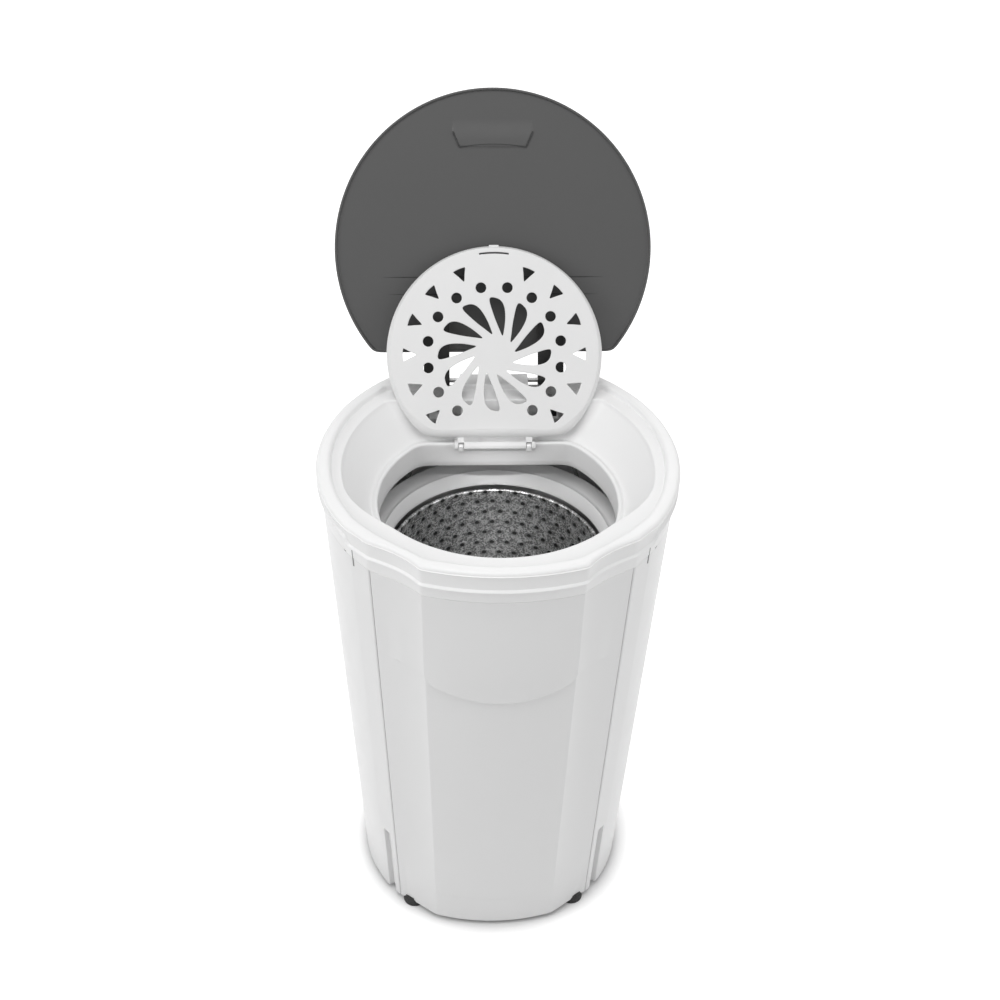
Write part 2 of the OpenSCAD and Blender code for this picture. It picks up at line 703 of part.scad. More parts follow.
// The outer lid is drawn closed and then swung open about its hinge.
lid_plate_z = seat_z + lid_rest_gap + lid_lip;
lip_wall_t = 3;
grip_from = 98;
grip_to = 128;
grip_depth = 2;
module open_outer() {
    translate([0, rod_y, hinge_z]) rotate([-lid_open, 0, 0]) translate([0, -rod_y, -hinge_z]) children();
}
module lid_shape(shrink = 0) {
    cut_disc(lid_r - shrink, rod_y - lid_centre, rod_y - lid_chord - shrink);
}
module grip_shape() {
    translate([0, rod_y - lid_centre - lid_r]) polygon([[-48, -20], [-48, 2], [-39, 22], [39, 22], [48, 2], [48, -20]]);
}
arm_x = slot_x + slot_w / 2 + 5;
arm_front = 95;
arm_screw_first = 8;
arm_screw_pitch = 16;
arm_screw_ys = [arm_front + arm_screw_first, arm_front + arm_screw_first + arm_screw_pitch];
module outer_lid() {
    color("dimgray") open_outer() difference() {
        translate([0, 0, lid_plate_z - lid_lip]) linear_extrude(height = lid_lip + lid_plate) lid_shape();
        translate([0, 0, lid_plate_z - lid_lip - 1]) linear_extrude(height = lid_lip + 1) lid_shape(lip_wall_t);
        translate([0, 0, lid_plate_z + lid_plate - grip_depth]) linear_extrude(height = through) grip_shape();
        for (x = [-1, 1]) translate([x * arm_x, 0, 0])
            box([-arm_w / 2 - fit_gap, rod_y - lid_chord - 2 * lip_wall_t, 0], [arm_w / 2 + fit_gap, rod_y, lid_plate_z]);
        for (x = [-1, 1]) for (y = arm_screw_ys) translate([x * arm_x, y, 0])
            disc(screw_shank_r, 0, lid_plate_z + lid_plate - 1);
    }
}
module lid_arms() {
    color("dimgray") open_outer() for (side = [0, 1]) mirror([side, 0, 0]) difference() {
        union() {
            box([arm_x - arm_w / 2, arm_front, lid_plate_z - arm_t], [arm_x + arm_w / 2, rod_y, lid_plate_z]);
            translate([0, rod_y, hinge_z]) bar_x(arm_x - arm_w / 2, arm_x + arm_w / 2, knuckle_r);
            box([switch_x - 3, switch_y - 4, plunger_top + lid_rest_gap], [switch_x + 3, switch_y + 4, lid_plate_z - 1]);
        }
        translate([0, rod_y, hinge_z]) bar_x(0, through, rod_r + running_gap);
        for (y = arm_screw_ys) translate([arm_x, y, 0]) disc(screw_shank_r, 0, through);
    }
}
module lid_arm_screws() {
    color("silver") open_outer() for (x = [-1, 1]) for (y = arm_screw_ys)
        translate([x * arm_x, y, 0]) {
            disc(screw_head_r - 1, lid_plate_z - arm_t - 2, lid_plate_z - arm_t);
            disc(screw_shank_r, lid_plate_z - arm_t - 1, lid_plate_z + lid_plate - 1);
        }
}

// The inner lid is drawn closed and then swung open until it rests on the bowl's rear edge.
inner_top_z = inner_hinge_z - 1.5;
inner_z = inner_top_z - inner_plate;
inner_y = inner_hinge_y - inner_centre;
rest_from_hinge = [bowl_rear - inner_hinge_y, seat_z - inner_hinge_z];
inner_open = 180 - atan2(rest_from_hinge[1], rest_from_hinge[0])
    + asin((inner_hinge_z - inner_top_z - lid_rest_gap) / norm(rest_from_hinge));
module open_inner() {
    translate([0, inner_hinge_y, inner_hinge_z]) rotate([-inner_open, 0, 0])
        translate([0, -inner_hinge_y, -inner_hinge_z]) children();
}
inner_lip_wall = 2;
module inner_shape(shrink = 0) {
    cut_disc(inner_r - shrink, inner_y, inner_hinge_y - inner_chord - shrink);
}
vent_ring_r = 83;
triangle_ring_r = 106.5;
triangle_r = 10;
vents = 16;
petals = 12;
petal_leaf = [[-5.7, -67.9], [3.5, -68.5], [9.8, -63.6], [12.9, -54.8], [13.3, -42.1], [11.7, -29.4],
    [9.8, -22.9], [5.9, -31.3], [-1, -48.9]];
strainer_w = 36;
strainer_h = 2;
strainer_r = 124;
module inner_holes() {
    translate([0, inner_y]) {
        for (k = [-7:6]) translate(polar(vent_ring_r, (k + 0.5) * 360 / vents)) circle(r = vent_r, $fn = 24);
        for (k = [-6:6]) if (k != 0) rotate(k * 360 / vents) translate([0, -triangle_ring_r])
            rotate(90) circle(r = triangle_r, $fn = 3);
        for (k = [0:petals - 1]) rotate(k * 360 / petals) polygon(petal_leaf);
        translate([-strainer_w / 2, -strainer_r]) square([strainer_w, strainer_h]);
    }
}
bar_half = 50;
bar_front = 14;
bar_r = 3.4;
module inner_lid() {
    color("white") open_inner() difference() {
        union() {
            difference() {
                translate([0, 0, inner_z - inner_lip]) linear_extrude(height = inner_lip + inner_plate) inner_shape();
                translate([0, 0, inner_z - inner_lip - 1]) linear_extrude(height = inner_lip + 1)
                    inner_shape(inner_lip_wall);
                translate([0, 0, inner_z - inner_lip - 1]) linear_extrude(height = through) inner_holes();
            }
            box([-bar_half, inner_hinge_y - bar_front, inner_z], [bar_half, inner_hinge_y, inner_top_z]);
            translate([0, inner_hinge_y, inner_hinge_z]) bar_x(-bar_half, bar_half, bar_r);
        }
        translate([0, inner_hinge_y, inner_hinge_z]) bar_x(-through / 2, through / 2, pin_r + running_gap);
        for (side = [-1, 1]) translate([side * lug_x, 0, 0])
            box([-lug_w / 2 - fit_gap, inner_hinge_y - bar_r - 6, 0], [lug_w / 2 + fit_gap, through, through]);
    }
}
latch_w = 12;
module inner_lid_latch() {
    color("white") open_inner() translate([0, inner_y - inner_r, 0])
        box([-latch_w / 2, -1.2, inner_z - 3], [latch_w / 2, 0, inner_top_z]);
}

// Floating drive: bracket, motor and bearings.
arm_width = 26;
bearing_r = 17.5;
bearing_h = 12;
cover_t = 8;
motor_top = motor_bottom + motor_h;
cover_top = motor_top + cover_t;
seat_wall = 4;
module motor_bracket() {
    color("gray") difference() {
        union() {
            disc(motor_r + 4, bracket_z, motor_bottom);
            for (a = mount_angles) rotate([0, 0, a]) {
                box([-arm_width / 2, -mount_r, bracket_z], [arm_width / 2, 0, motor_bottom]);
                translate([0, -mount_r, 0]) disc(arm_width / 2, bracket_z, motor_bottom);
            }
        }
        disc(bearing_r + seat_wall + 2, bracket_z - 1, motor_bottom + 1);
        for (a = bracket_screw_angles) at_angle(bracket_screw_r, a) disc(screw_shank_r, 0, through);
        translate([brake_pivot[0], brake_pivot[1], 0]) disc(pivot_r, 0, through);
    }
}
bracket_screw_angles = [0, 120, -120];
bracket_screw_r = 50;
module bracket_screws() {
    color("silver") for (a = bracket_screw_angles) at_angle(bracket_screw_r, a) {
        disc(screw_head_r, bracket_z - 3, bracket_z);
        disc(screw_shank_r, bracket_z - 1, motor_bottom + motor_wall);
    }
}
module motor_housing() {
    color("silver") difference() {
        union() {
            tube(motor_r, motor_wall, motor_bottom, motor_top);
            ring(motor_r, bearing_r, motor_bottom, motor_bottom + motor_wall);
            ring(bearing_r + seat_wall, bearing_r, motor_bottom, motor_bottom + bearing_h);
            ring(bearing_r + 1, shaft_r + 2, motor_bottom, motor_bottom + 2);
        }
        for (a = bracket_screw_angles) at_angle(bracket_screw_r, a) disc(screw_shank_r, 0, motor_bottom + motor_wall + 1);
    }
}
module motor_cover() {
    color("silver") {
        ring(motor_r, bearing_r, motor_top, cover_top);
        ring(seal_neck_r, bearing_r, cover_top - 1, neck_top);
        ring(bearing_r + 1, shaft_r + 2, neck_top - 2, neck_top);
    }
}
module bearing(z0) {
    ring(bearing_r, bearing_r - 3, z0, z0 + bearing_h - 2);
    ring(bearing_r - 2, shaft_r + running_gap, z0 + 1, z0 + bearing_h - 3);
    ring(shaft_r + 3.5, shaft_r + running_gap, z0, z0 + bearing_h - 2);
}
module lower_bearing() {
    color("silver") bearing(motor_bottom + 2);
}
module upper_bearing() {
    color("silver") bearing(neck_top - bearing_h);
}
rotor_r = 38;
stator_inner_r = rotor_r + 0.8;
stator_z = motor_bottom + 24;
stator_h = 44;
module stator() {
    color("sienna") {
        ring(motor_r - motor_wall, stator_inner_r, stator_z, stator_z + stator_h);
        ring(motor_r - motor_wall - 4, stator_inner_r + 5, stator_z - 7, stator_z + stator_h + 7);
    }
}

// Turning parts on the one shaft.
shaft_bottom = 38;
shaft_top = drum_bottom + 14;
module drum_shaft() {
    color("silver") disc(shaft_r, shaft_bottom, shaft_top);
}
module rotor() {
    color("slategray") ring(rotor_r, shaft_r, stator_z + 2, stator_z + stator_h - 2);
}
fan_z = stator_z + stator_h + 9;
fan_h = 8;
fan_r = rotor_r - 2;
fan_hub_r = shaft_r + 6.5;
blades = 8;
blade_t = 2;
module motor_fan() {
    color("black") {
        ring(fan_hub_r, shaft_r, fan_z, fan_z + fan_h);
        for (i = [0:blades - 1]) rotate([0, 0, 360 / blades * i])
            box([-blade_t / 2, -fan_r, fan_z], [blade_t / 2, -fan_hub_r + 2, fan_z + fan_h]);
    }
}
hub_r = 60;
hub_drop = 8;
nut_h = 9;
module drum_hub() {
    color("darkgray") difference() {
        union() {
            disc(hub_r, drum_bottom - 4, drum_bottom);
            disc(18, drum_bottom - hub_drop, drum_bottom);
            for (i = [0:5]) rotate([0, 0, 60 * i])
                box([-2, -hub_r + 6, drum_bottom - hub_drop + 1], [2, -15, drum_bottom - 3]);
        }
        disc(shaft_r, 0, through);
    }
}
drum_floor_t = 2;
module drum_base() {
    color("silver") ring(drum_r - drum_wall, shaft_r, drum_bottom, drum_bottom + drum_floor_t);
}
row_from = drum_bottom + 45;
row_to = drum_top - 40;
module drum_basket() {
    color("silver") difference() {
        union() {
            tube(drum_r, drum_wall, drum_bottom, drum_top - bead_r);
            translate([0, 0, drum_top - bead_r]) rotate_extrude()
                translate([drum_r - drum_wall / 2 + bead_r / 2, 0]) circle(r = bead_r, $fn = 24);
        }
        for (row = [0:hole_rows - 1]) for (i = [0:holes_round - 1])
            rotate([0, 0, (i + (row % 2) / 2) * 360 / holes_round])
                translate([0, -drum_r + 4, row_from + (row_to - row_from) * row / (hole_rows - 1)])
                    rotate([90, 0, 0]) cylinder(r = hole_r, h = 8, $fn = 16);
    }
}
module hub_nut() {
    color("gray") difference() {
        translate([0, 0, drum_bottom + drum_floor_t]) cylinder(r = 13, h = nut_h, $fn = 6);
        disc(shaft_r, 0, through);
    }
}
cap_dome_r = 32;
cap_dome_h = 24;
module hub_cap() {
    color("white") translate([0, 0, drum_bottom + drum_floor_t]) rotate_extrude() polygon([
        [0, cap_dome_h], [cap_dome_r - 12, cap_dome_h - 2], [cap_dome_r - 3, cap_dome_h - 10], [cap_dome_r, 0],
        [cap_dome_r - 2.5, 0], [cap_dome_r - 5.5, cap_dome_h - 11], [cap_dome_r - 13, cap_dome_h - 5],
        [0, cap_dome_h - 3]]);
}
module brake_drum() {
    color("dimgray") {
        ring(brake_r, brake_r - 4, brake_drum_z, brake_drum_z + brake_drum_h);
        ring(brake_r - 1, shaft_r, brake_drum_z + brake_drum_h - 4, brake_drum_z + brake_drum_h);
        ring(shaft_r + 7, shaft_r, brake_drum_z, brake_drum_z + brake_drum_h);
    }
}

// Brake lever beside the brake drum, turning on a pin in the motor bracket.
module brake_pivot_pin() {
    color("silver") translate([brake_pivot[0], brake_pivot[1], 0]) {
        disc(pivot_r, lever_z - 2, motor_bottom);
        disc(pivot_r + 2, lever_z - 3.3, lever_z - fit_gap);
    }
}
module brake_lever() {
    color("gray") difference() {
        union() {
            translate([brake_pivot[0], brake_pivot[1], 0]) disc(pivot_r + 4, lever_z, lever_z + lever_t);
            box([brake_pivot[0] - lever_w / 2, brake_pivot[1], lever_z],
                [brake_pivot[0] + lever_w / 2, brake_tip_y, lever_z + lever_t]);
        }
        translate([brake_pivot[0], brake_pivot[1], 0]) disc(pivot_r + running_gap, 0, through);
    }
}
pad_y = 10;
module brake_pad() {
    color("saddlebrown") difference() {
        box([brake_pivot[0] + lever_w / 2, pad_y - 9, lever_z - 2], [-brake_r + 6, pad_y + 9, lever_z + lever_t + 2]);
        disc(brake_r + fit_gap, 0, through);
    }
}

rear_shell();
front_panel();
top_panel();
base_pan();
rubber_feet();
foot_screws();
side_screws();
outer_tub();
tub_cover();
tub_legs();
drain_outlet();
mains_gland();
terminal_box();
wiring_lead();
capacitor();
capacitor_cup();
hinge_rod();
inner_hinge_pins();
safety_switch();
brake_cable();
tub_seal();
rubber_mounts();
outer_lid();
lid_arms();
lid_arm_screws();
inner_lid();
inner_lid_latch();
motor_bracket();
motor_housing();
motor_cover();
stator();
lower_bearing();
upper_bearing();
bracket_screws();
brake_pivot_pin();
drum_basket();
drum_base();
drum_hub();
drum_shaft();
rotor();
motor_fan();
hub_nut();
hub_cap();
brake_drum();
brake_lever();
brake_pad();
switch_plunger();
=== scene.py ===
"""Laundry spin dryer with both lids open: the looks of the object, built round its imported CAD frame.

Lengths inside the surface functions are millimetres, as in the CAD source, and become metres when a mesh is made.
The drum axis is x = y = 0, the floor z = 0, and the front faces -Y. Angles round the drum axis start at the front
and grow towards +X.
"""
import functools
import math

import bpy
import numpy as np
from mathutils import Matrix, Vector


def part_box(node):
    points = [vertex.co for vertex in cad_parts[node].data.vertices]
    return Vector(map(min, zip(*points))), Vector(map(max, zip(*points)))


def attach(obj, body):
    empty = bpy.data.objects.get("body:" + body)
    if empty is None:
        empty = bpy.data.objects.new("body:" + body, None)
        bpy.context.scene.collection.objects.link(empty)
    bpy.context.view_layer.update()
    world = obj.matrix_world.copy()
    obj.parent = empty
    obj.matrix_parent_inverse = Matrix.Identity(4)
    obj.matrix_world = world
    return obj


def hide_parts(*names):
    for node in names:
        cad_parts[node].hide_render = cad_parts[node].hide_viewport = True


bl_info = {
    "name": "Laundry spin dryer",
    "version": (1, 0, 0),
    "blender": (4, 5, 0),
    "location": "View3D > Sidebar > Spin dryer",
    "description": "Builds a free-standing laundry spin dryer round its CAD frame",
    "category": "Object",
}

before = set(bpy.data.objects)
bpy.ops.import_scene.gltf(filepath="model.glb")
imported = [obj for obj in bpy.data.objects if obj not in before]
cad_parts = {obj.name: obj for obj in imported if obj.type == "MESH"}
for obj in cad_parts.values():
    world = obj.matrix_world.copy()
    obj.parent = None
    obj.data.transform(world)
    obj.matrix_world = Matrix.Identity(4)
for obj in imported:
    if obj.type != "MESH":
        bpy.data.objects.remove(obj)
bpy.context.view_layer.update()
MM = 0.001
TURN = 2 * math.pi

# Sizes of the CAD model, which the surfaces follow, and of the trim that the photo shows
RIM_R = 215.0
BODY_TOP = 658.0
BODY_FOOT = 14.0
TAPER = 0.815
FRONT_DEPTH = 206.0
REAR_DEPTH = 176.08
RIDGE_X = 95.0
FRONT_BULGE = 15.0
SCALLOP, SHEET_HOLLOW = 5.0, 3.6
PANEL_TOP, PANEL_FOOT = 610.1, 8.0
PANEL_INSET = 3.8
SEAM_AT = 46.7
PANEL_WALL = 1.6
SEAT_Z = 650.0
RECESS_REAR, BOWL_REAR = REAR_DEPTH - 26, REAR_DEPTH - 48
MOUTH_Z = 603.0
MOUTH_R = 143.0
MOUTH_SHIFT = 10.0
MOUTH_REAR = 99.0
COLLAR_FOOT = 570.0
ROD_Y, HINGE_Z = REAR_DEPTH - 8, 652.0
LID_OPEN = 121.0
LID_R, LID_CENTRE_Y, LID_CHORD_Y = 195.5, ROD_Y - 162, ROD_Y - 35
LID_UNDER, LID_TOP, LID_FOOT = 653.3, 656.3, 650.3
INNER_Y, INNER_Z = 95.0, 603.0
INNER_TOP, INNER_FOOT, INNER_PLATE = 601.5, 594.0, 2.5
INNER_R, INNER_CENTRE_Y, INNER_CHORD_Y = 132.5, -18.5, 83.0
DRUM_R, DRUM_TOP, DRUM_FOOT = 130.5, 507.0, 215.0
COVER_R, COVER_INNER, COVER_LIP, COVER_Z = 163.0, 142.0, 134.5, 523.0
FOOT_R, FOOT_REACH, FOOT_ANGLES = 15.0, 157.225, (42.0, -42.0, 138.0, -138.0)
FACE_INSET, FACE_WALL, BAND_LIFT = 3.4, 2.6, 9
LIP_Z, LIP_OUT, LIP_IN = 606, 6.4, 8.8
RECESS_R, BOWL_R, BOWL_NARROW = 201.5, 184, 17
FIELD_Z, FIELD_SAG, FIELD_HALF, FIELD_END = 470, 24, 88, 475
PLAIN_Z, LOW_FIELD_Z = 110, 55
DIMPLE_OUT, DIMPLE_SLOPE, HOLE_OUT = 0.36, 0.26, 0.17
GRIP_DEPTH, LID_BACK = 2.0, 4.2
SLIT_AT, SLIT_FOOT, SLIT_TOP = 54.5, 598.0, 625.0
SCREW_AT, SCREW_Z = 58.8, 613
ARM_IN, ARM_OUT, BOSS_WALL = 42, 90, 12
SEAM_GAP = 0.13
RELIEF_AT, RELIEF_TOP, RELIEF_DEEP = 52, 126, 6.5
GLOW_FROM, GLOW_TO = 0.168, 0.205
FINE = 3600


# --- Outlines: radius against angle round the drum axis

def fine_angles():
    """Angles of the fine outline samples, once round."""
    return np.arange(FINE) * TURN / FINE


def polar(radius, degrees):
    """Points at a radius and an angle in degrees: x is the sine, y is minus the cosine."""
    a = np.radians(degrees)
    return np.stack([radius * np.sin(a), -radius * np.cos(a)], -1)


def outline_radius(points):
    """Radius of a closed outline at the fine angles: straight edges are filled with points and read by their angle."""
    after = np.roll(points, -1, 0)
    t = np.linspace(0, 1, 60, endpoint=False)[None, :, None]
    dense = (points[:, None] * (1 - t) + after[:, None] * t).reshape(-1, 2)
    angle = np.arctan2(dense[:, 0], -dense[:, 1]) % TURN
    order = np.argsort(angle)
    return np.interp(fine_angles(), angle[order], np.hypot(*dense[order].T), period=TURN)


def soften(radius, degrees):
    """Radius averaged with a bell-shaped weight of that width in degrees, which rounds the corners."""
    step = (np.arange(FINE) + FINE // 2) % FINE - FINE // 2
    weight = np.exp(-0.5 * (step * 360 / FINE / degrees) ** 2)
    return np.fft.irfft(np.fft.rfft(radius) * np.fft.rfft(weight / weight.sum()), FINE)


def body_points(hollow, corner_r=0.985, corner_at=46.5):
    """Outline of the cabinet: bowed front, a chamfer hollowed by a skewed half sine, round side and flat back."""
    bow_r = (RIDGE_X**2 + FRONT_BULGE**2) / (2 * FRONT_BULGE)
    bow = polar(bow_r, np.linspace(0, math.degrees(math.asin(RIDGE_X / bow_r)), 20)) + [0, bow_r - FRONT_DEPTH]
    ridge, corner = bow[-1], polar(RIM_R * corner_r, corner_at)
    t = np.linspace(0, 1, 24)[1:-1, None]
    across = np.array([-(corner[1] - ridge[1]), corner[0] - ridge[0]]) / np.linalg.norm(corner - ridge)
    chamfer = ridge + (corner - ridge) * t + across * hollow * np.sin(np.pi * t**0.8)
    side = polar(RIM_R, np.linspace(56, 180 - math.degrees(math.acos(REAR_DEPTH / RIM_R)), 60))
    half = np.concatenate([bow, chamfer, [corner], side])
    return np.concatenate([half, half[:0:-1] * [-1, 1]])


def cut_disc(radius, centre_y, rear_y):
    """Radius of a disc about (0, centre_y), cut off straight behind rear_y."""
    a = fine_angles()
    along = -np.cos(a) * centre_y
    disc = along + np.sqrt(along**2 - centre_y**2 + radius**2)
    back = np.where(-np.cos(a) > 0.05, rear_y / np.maximum(-np.cos(a), 0.05), np.inf)
    return np.minimum(disc, back)


def taper_at(z):
    """Size of the cabinet's outline at a height, as a share of its size at the rim."""
    return TAPER + (1 - TAPER) * (z - BODY_FOOT) / (BODY_TOP - BODY_FOOT)


def inset(amount):
    """Share of the outline's size that a set-back leaves."""
    return (RIM_R - amount) / RIM_R


def ease(t):
    """Smooth step from 0 to 1: three t squared less two t cubed, held outside 0 to 1."""
    t = np.clip(t, 0, 1)
    return t * t * (3 - 2 * t)


def off_line(angles, degrees):
    """How many degrees each angle lies off the two lines at plus and minus that many degrees."""
    return np.abs(np.abs((np.degrees(angles) + 180) % 360 - 180) - degrees)


def sample(radius, angles):
    """A fine outline's radius at other angles, in radians."""
    return np.interp(angles % TURN, np.append(fine_angles(), TURN), np.append(radius, radius[0]))


BODY = soften(outline_radius(body_points(0.0)), 0.5)
SKIRT = soften(outline_radius(body_points(SCALLOP)), 0.7)
SHEETS = soften(outline_radius(body_points(SHEET_HOLLOW, 0.997, 47.0)), 0.12)


# --- Meshes

def grid_quads(rows, columns, around_rows=False, around_columns=True):
    """Quads between neighbouring points of a grid, closed along either way where that is asked."""
    i = np.arange(rows if around_rows else rows - 1)[:, None]
    j = np.arange(columns if around_columns else columns - 1)[None, :]
    i2, j2 = (i + 1) % rows, (j + 1) % columns
    quads = np.stack(np.broadcast_arrays(i * columns + j, i * columns + j2, i2 * columns + j2, i2 * columns + j), -1)
    return quads.reshape(-1, 4)


def strips(count):
    """Quads that fill a closed ring of that many points with strips straight across."""
    k = np.arange(count // 2 - 1)
    return np.stack([k, k + 1, count - 2 - k, count - 1 - k], -1)


def rings(radius, angles, heights, centre_y=0.0):
    """Grid of points from radii by angles and a height for each ring or for each point."""
    heights = np.broadcast_to(np.reshape(heights, (len(radius), -1)), radius.shape)
    return np.stack([radius * np.sin(angles), centre_y - radius * np.cos(angles), heights], -1)


def outward(points, quads):
    """The quads turned round when the volume that they enclose comes out negative."""
    a, b, c, d = (points[quads[:, k]] for k in range(4))
    volume = np.einsum("ij,ij->i", a, np.cross(b, c)).sum() + np.einsum("ij,ij->i", a, np.cross(c, d)).sum()
    return quads if volume > 0 else quads[:, ::-1]


def joined(*shapes):
    """Several (points, quads) shapes as one."""
    starts = np.cumsum([0] + [len(p) for p, _ in shapes[:-1]])
    return np.concatenate([p for p, _ in shapes]), np.concatenate([q + s for (_, q), s in zip(shapes, starts)])


def solid(points, quads):
    """A closed shape with its faces outwards."""
    points = np.asarray(points, float).reshape(-1, 3)
    return points, outward(points, quads)


def new_piece(name, shape, body, finish, stands_for=(), sharp=38.0, uv=None):
    """Makes the mesh object in metres, with points that coincide made one and quads that this narrows made triangles.
    It is shaded smooth up to a sharp angle and hung on its CAD body."""
    points, quads = shape
    _, first, place = np.unique(np.round(points, 4), axis=0, return_index=True, return_inverse=True)
    points, quads = points[first], place.ravel()[quads]
    kept = quads != np.roll(quads, 1, 1)
    kept &= (kept.sum(1) > 2)[:, None]
    counts = kept.sum(1)[kept.any(1)]
    mesh = bpy.data.meshes.new(name)
    mesh.vertices.add(len(points))
    mesh.vertices.foreach_set("co", (points * MM).astype(np.float32).ravel())
    mesh.loops.add(int(counts.sum()))
    mesh.loops.foreach_set("vertex_index", quads[kept].astype(np.int32))
    mesh.polygons.add(len(counts))
    mesh.polygons.foreach_set("loop_start", np.append(0, np.cumsum(counts)[:-1]).astype(np.int32))
    if uv is not None:
        mesh.uv_layers.new(name="UVMap").uv.foreach_set("vector", uv[kept].astype(np.float32).ravel())
    mesh.update(calc_edges=True)
    mesh.validate()
    return finish_piece(bpy.data.objects.new(name, mesh), body, finish, stands_for, sharp)


def link(thing):
    """Puts an object into the scene."""
    bpy.context.scene.collection.objects.link(thing)


def finish_piece(piece, body, finish, stands_for=(), sharp=38.0):
    """Shading, finish, body and CAD nodes of a mesh object."""
    mesh = piece.data
    mesh.polygons.foreach_set("use_smooth", np.ones(len(mesh.polygons), bool))
    mesh.set_sharp_from_angle(angle=math.radians(sharp))
    mesh.materials.clear()
    mesh.materials.append(finishes()[finish])
    if piece.name not in bpy.context.scene.collection.objects:
        link(piece)
    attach(piece, body)
    if stands_for:
        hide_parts(*stands_for)
    return piece


def shell(points):
    """Closed shape of a grid of points whose rings join round both ways."""
    return solid(points, grid_quads(*points.shape[:2], around_rows=True))


def loft(rows, columns):
    """Closed shell of rings: each row holds a ring's radii at the fine angles and its heights, and the last row joins
    the first, so the profile goes once round the wall's thickness."""
    angles = np.arange(columns) * TURN / columns
    radius = np.stack([sample(np.broadcast_to(r, FINE), angles) for r, _ in rows])
    height = np.stack([sample(np.broadcast_to(z, FINE).astype(float), angles) for _, z in rows])
    return shell(rings(radius, angles, height))


def revolve(profile, columns=96, centre=(0.0, 0.0)):
    """A closed profile of (radius, height) points carried once round the upright axis through centre."""
    profile = np.asarray(profile, float)
    a = np.arange(columns) * TURN / columns
    return shell(rings(np.repeat(profile[:, :1], columns, 1), a, profile[:, 1], centre[1]) + [centre[0], 0, 0])


def rounded_box(low, high, radius):
    """Box whose edges are rounded: each surface point is the nearest point of the box shrunk by the radius, plus the
    radius along the way out."""
    low, high = np.asarray(low, float), np.asarray(high, float)
    r = min(radius, (high - low).min() / 2 * 0.999)
    steps = np.array([0, 0.12, 0.4, 1.0])
    lines = [np.concatenate([lo + r * steps, hi - r * steps[::-1]]) for lo, hi in zip(low, high)]
    shapes = []
    for axis in range(3):
        u, v = (axis + 1) % 3, (axis + 2) % 3
        gu, gv = np.meshgrid(lines[u], lines[v], indexing="ij")
        for end, turn in ((low[axis], -1), (high[axis], 1)):
            face = np.zeros(gu.shape + (3,))
            face[..., axis], face[..., u], face[..., v] = end, gu, gv
            quads = grid_quads(*gu.shape, around_columns=False)
            shapes.append((face.reshape(-1, 3), quads[:, ::-1] if turn > 0 else quads))
    points, quads = joined(*shapes)
    core = np.clip(points, low + r, high - r)
    away = points - core
    points = core + r * away / np.maximum(np.linalg.norm(away, axis=1, keepdims=True), 1e-9)
    keys, place = np.unique(np.round(points, 5), axis=0, return_inverse=True)
    return keys, outward(keys, place.ravel()[quads])


def tube_on_plane(path, up, radius, sides=8):
    """Round bar along an open path that lies in a plane: each ring stands square to the path, and both ends close in
    a point."""
    path, up = np.asarray(path, float), np.asarray(up, float)
    along = np.gradient(path, axis=0)
    along /= np.linalg.norm(along, axis=1, keepdims=True)
    side = np.cross(along, up)
    a = np.arange(sides) * TURN / sides
    thick = np.full(len(path), float(radius))
    thick[[0, -1]] *= 0.05
    tube = path[:, None] + thick[:, None, None] * (side[:, None] * np.cos(a)[:, None] + up * np.sin(a)[:, None])
    first = strips(sides)
    last = first + (len(path) - 1) * sides
    return solid(tube, np.concatenate([grid_quads(len(path), sides), first, last[:, ::-1]]))


def swing(shape, pivot_y, pivot_z, degrees):
    """A shape turned about a hinge along X, so that a closed lid comes to its open place."""
    points, quads = shape
    a = math.radians(-degrees)
    y, z = points[:, 1] - pivot_y, points[:, 2] - pivot_z
    return np.stack([points[:, 0], pivot_y + y * math.cos(a) - z * math.sin(a),
                     pivot_z + y * math.sin(a) + z * math.cos(a)], -1), quads


def inner_open_angle():
    """Angle at which the opened inner lid lies against the bowl's rear edge."""
    dy, dz = BOWL_REAR - INNER_Y, SEAT_Z - INNER_Z
    return 180 - math.degrees(math.atan2(dz, dy)) + math.degrees(
        math.asin((INNER_Z - INNER_TOP - 0.3) / math.hypot(dy, dz)))


def cut_by(piece, cutter):
    """Cuts the cutter's shape out of the piece and throws the cutter away."""
    change = piece.modifiers.new("Cut", "BOOLEAN")
    change.operation, change.solver, change.object = "DIFFERENCE", "EXACT", cutter
    seen = piece.evaluated_get(bpy.context.evaluated_depsgraph_get())
    mesh = bpy.data.meshes.new_from_object(seen)
    piece.modifiers.clear()
    piece.data = mesh
    bpy.data.objects.remove(cutter)


# --- Shaders

class Value:
    """A socket of a shader tree. Arithmetic on it adds the Math nodes that do it."""

    def __init__(self, shader, socket):
        self.shader, self.socket = shader, socket

    def math(self, operation, *others):
        """The result of one Math node on this socket and the others."""
        return self.shader.add("ShaderNodeMath", {"operation": operation}, [self, *others])

    def also(self, output):
        """Another output of the same node."""
        return Value(self.shader, self.socket.node.outputs[output])

    def __add__(self, other):
        return self.math("ADD", other)

    def __mul__(self, other):
        return self.math("MULTIPLY", other)

    def __sub__(self, other):
        return self.math("SUBTRACT", other)

    def __rsub__(self, other):
        return self.shader.add("ShaderNodeMath", {"operation": "SUBTRACT"}, [other, self])


